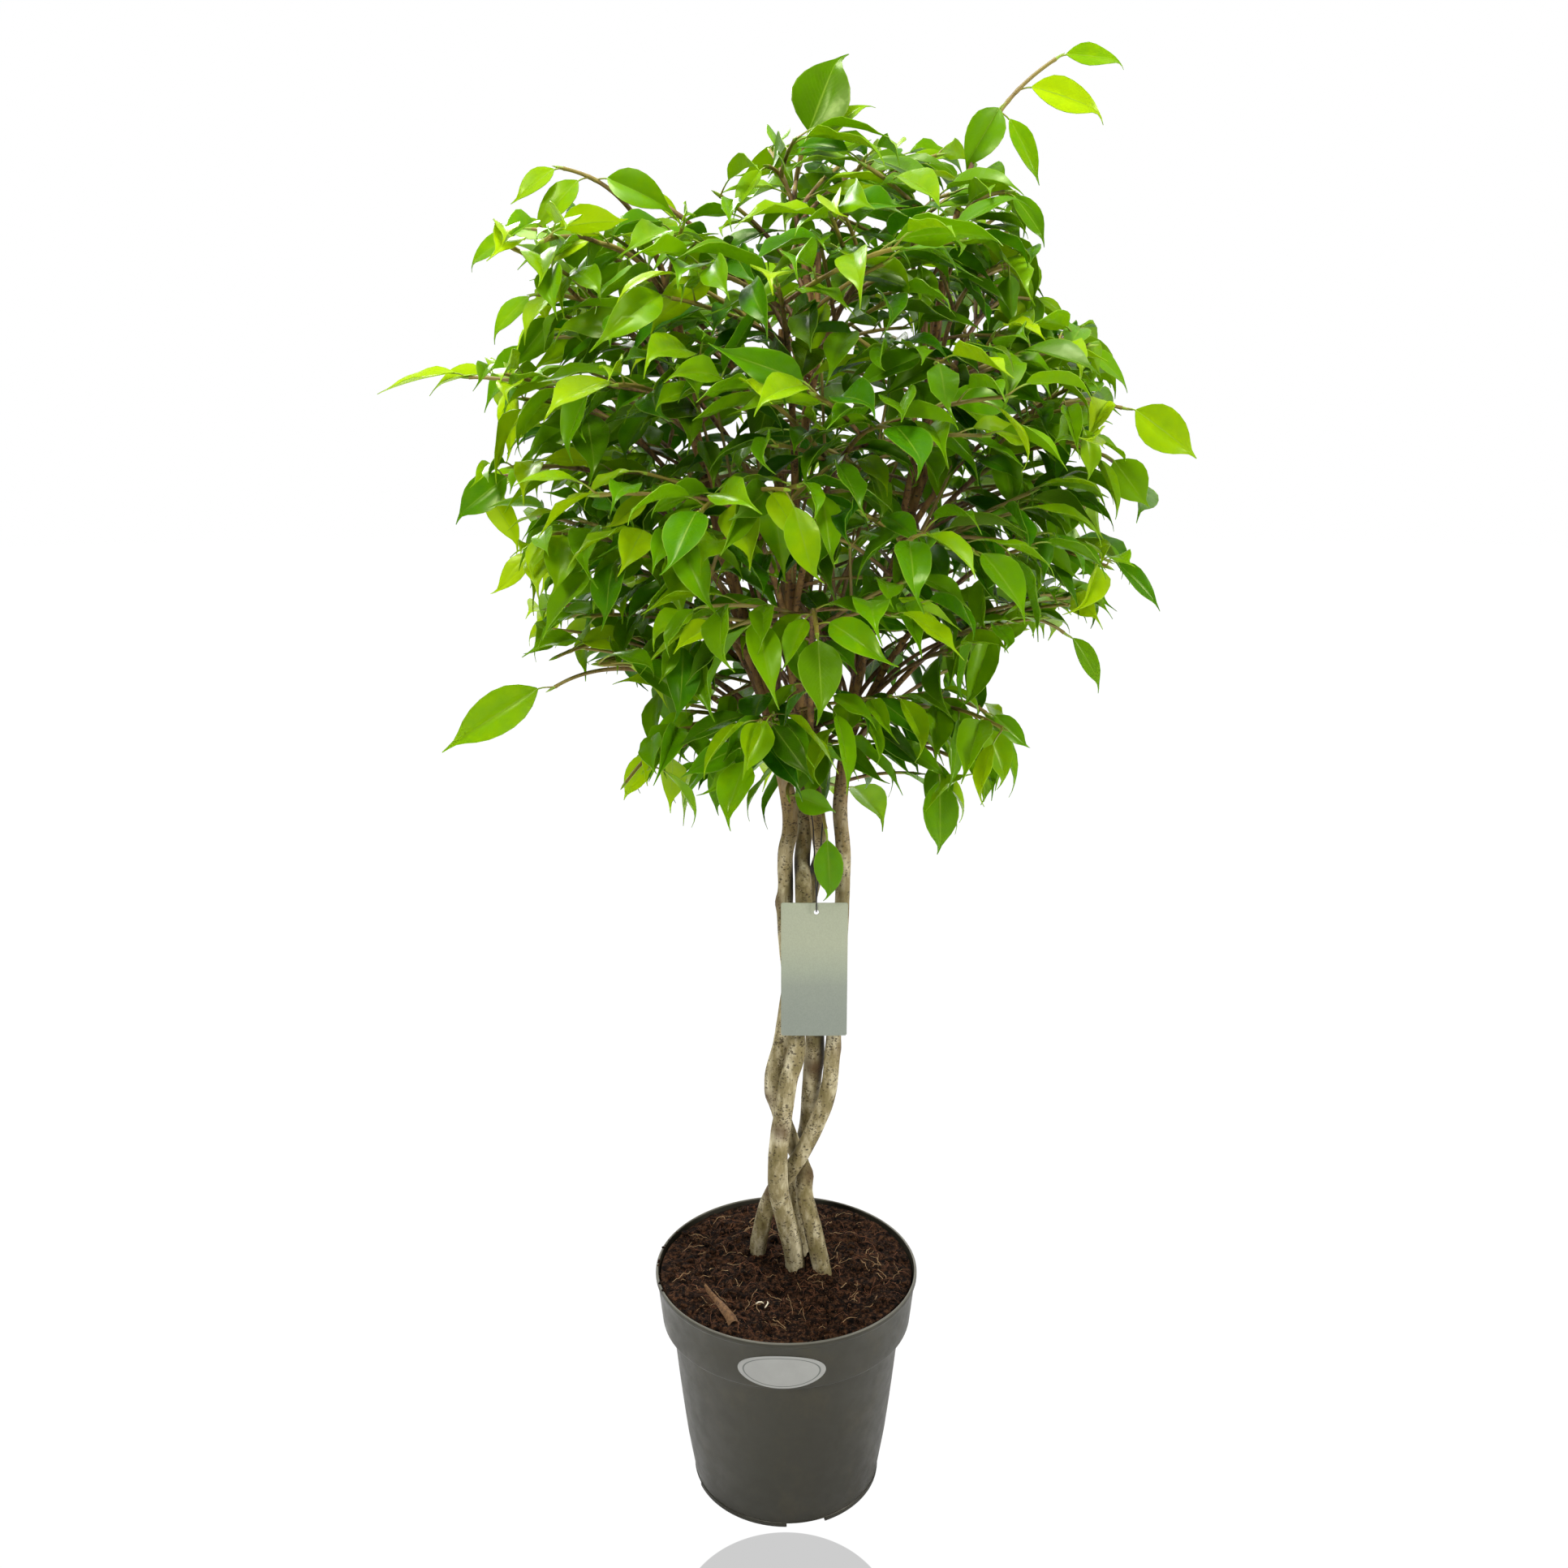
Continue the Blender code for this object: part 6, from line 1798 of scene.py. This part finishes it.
    def build(self, shoots: list[Shoot], inner: list[Shoot]) -> int:
        """Build, dress and place every leafy twig; returns the number of leaves."""
        upper, lower, wood_finish = UPPER_FACE.make(), LOWER_FACE.make(), TwigBark().make()
        rng = random.Random(5)
        total = 0
        names = [f"leafy_twig_{k + 1:02d}" for k in range(len(shoots))]
        names += ["inner_twigs_" + shoot.strand.name.lower() for shoot in inner]
        for index, (name, shoot) in enumerate(zip(names, shoots + inner)):
            blades = self.blades(name, shoot, rng)
            dress(blades, upper, lower)
            wood = self.wood(name + "_wood", shoot)
            dress(wood, wood_finish)
            piece = join(blades, [wood])
            piece.name = piece.data.name = name
            shade(piece, 62)
            place(piece, "foliage", *([f"spray_{index + 1:02d}"] if index < len(shoots) else []))
            total += len(shoot.leaves)
        return total


@dataclass
class BraidedTrunk:
    """The four strands with their leaders and limbs."""

    step: float = 0.0035
    rounds: int = 8
    # Calluses: strand, height, direction in degrees (270 faces the front), swelling, spread, in mm.
    calluses: tuple = (
        (Strand.B, 316.0, 268.0, 2.2, 7.5),
        (Strand.A, 262.0, 330.0, 2.4, 6.5),
        (Strand.B, 492.0, 185.0, 2.2, 7.0),
        (Strand.D, 372.0, 20.0, 1.0, 7.0),
        (Strand.A, 330.0, 190.0, 1.0, 8.0),
        (Strand.C, 355.0, 265.0, 1.1, 9.0),
        (Strand.D, 250.0, 200.0, 1.3, 8.0),
        (Strand.C, 470.0, 270.0, 1.4, 9.0),
    )

    def crevice(self, strand: Strand, co: Array) -> Array:
        """How close each vertex lies to another strand, 1 where they touch and 0 from about 8 mm on, for the
        bark's painted shade.
        """
        gap = np.full(len(co), 1.0)
        for other in Strand:
            if other is not strand:
                rows = other.line(0.004)
                away = np.linalg.norm(co[:, None] - rows[None, :, :3], axis=2) - rows[None, :, 3]
                gap = np.minimum(gap, away.min(axis=1))
        return np.exp(-((np.maximum(gap, 0) / 0.0046) ** 2))

    def shape(self, strand: Strand, tube: bpy.types.Object, rows: Array) -> None:
        """Give a plain tube its unevenness and calluses, and mark calluses and the painted shade where
        strands touch.
        """
        co = positions(tube.data)
        mark = np.zeros(len(co))
        index = np.argmin(np.linalg.norm(co[:, None] - rows[None, :, :3], axis=2), axis=1)
        out = unit_rows(co - rows[index, :3])
        girth = rows[index, 3]
        for i, (c, o, g) in enumerate(zip(co, out, girth)):
            low = noise.noise(Vector(c) / 0.021 + Vector((7.0, 3.0, 1.0)))
            fine = noise.fractal(Vector((c[0] * 1.6, c[1] * 1.6, c[2])) / 0.0065, 1.0, 2.0, 3)
            co[i] = c + o * g * (0.055 * low + 0.022 * fine)
        for owner, z, degrees, swell, spread in self.calluses:
            if owner is strand:
                row = rows[np.argmin(abs(rows[:, 2] - z * MM))]
                angle = math.radians(degrees)
                spot = row[:3] + np.array([math.cos(angle), math.sin(angle), 0]) * row[3]
                near = np.exp(-((np.linalg.norm(co - spot, axis=1) / (spread * MM)) ** 2))
                mark = np.maximum(mark, near)
                co = co + out * (swell * MM * near)[:, None]
        give_positions(tube.data, co)
        point_values(tube.data, "callus", mark)
        point_values(tube.data, "crevice", self.crevice(strand, co))

    def build_strand(self, strand: Strand, shoots: list[Shoot], bark: bpy.types.Material) -> bpy.types.Object:
        """One strand with its leader and limbs in one closed body."""
        name = "stem_" + strand.name.lower()
        rows = strand.line(self.step)
        trunk = sweep("braided_" + name, [(rows[:, :3], rows[:, 3])], self.rounds)
        tidy_faces(trunk, 0.00001)
        self.shape(strand, trunk, rows)
        limbs = []
        for shoot in shoots:
            if shoot.strand is strand:
                points, radii = shoot.limb
                flare = radii + 0.0012 * np.exp(-run_of(points) / 0.006)
                limb = sweep("limb", [(points, flare)], 2)
                tidy_faces(limb, 0.00001)
                for mark in ("callus", "crevice"):
                    point_values(limb.data, mark, np.zeros(len(limb.data.vertices)))
                limbs.append(limb)
        fuse(trunk, limbs)
        shade(trunk, 60)
        dress(trunk, bark)
        return place(trunk, "bark", name)

    def build(self, shoots: list[Shoot], finish: FigBark) -> None:
        """Build and dress all four strands.

        Args:
            shoots: the crown's shoots, whose limbs grow from the strands.
            finish: the bark.
        """
        bark = finish.make()
        for strand in Strand:
            self.build_strand(strand, shoots, bark)


# The studio


@dataclass
class Studio:
    """White floor, soft light from above and both sides, and the camera at the photograph's place."""

    camera_at: tuple[float, float, float] = (-0.0018, -0.996, 0.818)
    down_deg: float = 13.31
    lens_mm: float = 31.68
    sensor_mm: float = 36.0
    painted_reflection_at: tuple[float, float, float] = (-0.0006, -0.1576, 0.0)
    painted_reflection_radius: float = 0.0776

    def add_camera(self) -> None:
        """The camera that takes the photograph's view."""
        data = bpy.data.cameras.new("camera")
        data.lens, data.sensor_width = self.lens_mm, self.sensor_mm
        data.clip_start, data.clip_end = 0.01, 100
        camera = bpy.data.objects.new("camera", data)
        camera.location = self.camera_at
        camera.rotation_euler = (math.radians(90 - self.down_deg), 0, 0)
        bpy.context.scene.collection.objects.link(camera)
        bpy.context.scene.camera = camera

    def add_floor(self) -> None:
        """A wide white floor, overexposed to the camera, with a grey painted reflection of the pot's foot
        before the pot.
        """
        bpy.ops.mesh.primitive_circle_add(vertices=96, radius=14, fill_type="NGON")
        floor = bpy.context.object
        floor.name = "studio_floor"
        material, tree, shader = start("white_lacquer_floor")
        shader.inputs["Base Color"].default_value = srgb("#f2f2f2")
        shader.inputs["Roughness"].default_value = 0.5
        place_of = add_node(tree, "ShaderNodeTexCoord").outputs["Object"]
        # A soft grey disc before the pot dims the floor's glow: a painted reflection of the pot's foot.
        away = add_node(tree, "ShaderNodeVectorMath", {0: place_of, 1: self.painted_reflection_at}, operation="DISTANCE")
        edge = self.painted_reflection_radius
        inside = span(tree, away.outputs["Value"], edge - 0.001, edge, (0.41, 0.0))
        forward = add_node(tree, "ShaderNodeSeparateXYZ", {0: place_of}).outputs["Y"]
        painted_reflection = sums(tree, "MULTIPLY", inside, span(tree, forward, -0.136, -0.116))
        strength = sums(tree, "SUBTRACT", 1.02, painted_reflection)
        glow = add_node(tree, "ShaderNodeEmission", {"Color": srgb("#ffffff"), "Strength": strength})
        seen = add_node(tree, "ShaderNodeLightPath").outputs["Is Camera Ray"]
        mixed = add_node(tree, "ShaderNodeMixShader", {0: seen, 1: shader.outputs[0], 2: glow.outputs[0]})
        tree.links.new(mixed.outputs[0], tree.nodes["Material Output"].inputs["Surface"])
        dress(floor, material)

    def add_light(self, name: str, at: tuple, aim: tuple, size: float, power: float) -> None:
        """One square softbox that looks at a point."""
        data = bpy.data.lights.new(name, "AREA")
        data.energy, data.size = power, size
        light = bpy.data.objects.new(name, data)
        light.location = at
        light.rotation_euler = (Vector(aim) - Vector(at)).to_track_quat("-Z", "Y").to_euler()
        bpy.context.scene.collection.objects.link(light)

    def add_sky(self) -> None:
        """White surroundings: bright behind and overhead, dim behind the camera, plain white when seen."""
        world = bpy.data.worlds.new("white_studio")
        bpy.context.scene.world = world
        world.use_nodes = True
        tree = world.node_tree
        ground = tree.nodes["Background"]
        ground.inputs["Color"].default_value = srgb("#ffffff")
        way = add_node(tree, "ShaderNodeTexCoord").outputs["Generated"]
        parts = add_node(tree, "ShaderNodeSeparateXYZ", {0: way}).outputs
        behind = span(tree, parts["Y"], -0.4, 0.9, (0.06, 0.58))
        overhead = span(tree, parts["Z"], 0.1, 0.9, (0.0, 0.20))
        glow = sums(tree, "ADD", behind, overhead)
        tree.links.new(glow, ground.inputs["Strength"])
        white = add_node(tree, "ShaderNodeBackground", {"Color": srgb("#ffffff"), "Strength": 1.0})
        seen = add_node(tree, "ShaderNodeLightPath").outputs["Is Camera Ray"]
        both = add_node(tree, "ShaderNodeMixShader", {0: seen, 1: ground.outputs[0], 2: white.outputs[0]})
        tree.links.new(both.outputs[0], tree.nodes["World Output"].inputs["Surface"])

    def build(self) -> None:
        """Set up camera, floor, light and colour."""
        self.add_camera()
        self.add_floor()
        self.add_sky()
        self.add_light("top_softbox", (-0.3, -0.3, 2.7), (0, 0, 0.7), 0.7, 50)
        self.add_light("front_softbox", (-1.0, -2.0, 2.1), (0, 0, 0.5), 0.5, 38)
        self.add_light("right_softbox", (2.1, -0.9, 1.4), (0, 0, 0.5), 0.5, 37)
        self.add_light("back_softbox", (-0.8, 2.1, 2.0), (0, 0, 0.7), 1.0, 48)
        bpy.context.scene.view_settings.view_transform = "Standard"


def main() -> None:
    """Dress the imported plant, piece by piece."""
    logging.basicConfig(level=logging.INFO, format="%(message)s")
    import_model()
    deselect_all()
    Studio().build()
    tag = HangTag()
    tag.build_string(STRING)
    tag.build_card(PrintedCard())
    NurseryPot().build(Polypropylene())
    PottingSoil().build(Peat())
    CollarLabel().build(FoilPaper())
    growth = Growth()
    shoots = growth.grow()
    inner = [growth.inner_twigs(strand) for strand in Strand]
    kept = Thicket().fill(shoots + inner, growth)
    LOG.info("%d leaves in the crown, %d leafy twigs of the solids", kept, len(shoots))
    BraidedTrunk().build(shoots, FigBark())
    pattern = BladePattern()
    pattern.model()
    Crown(growth, pattern).build(shoots, inner)
    bpy.context.view_layer.update()


if __name__ == "__main__":
    main()
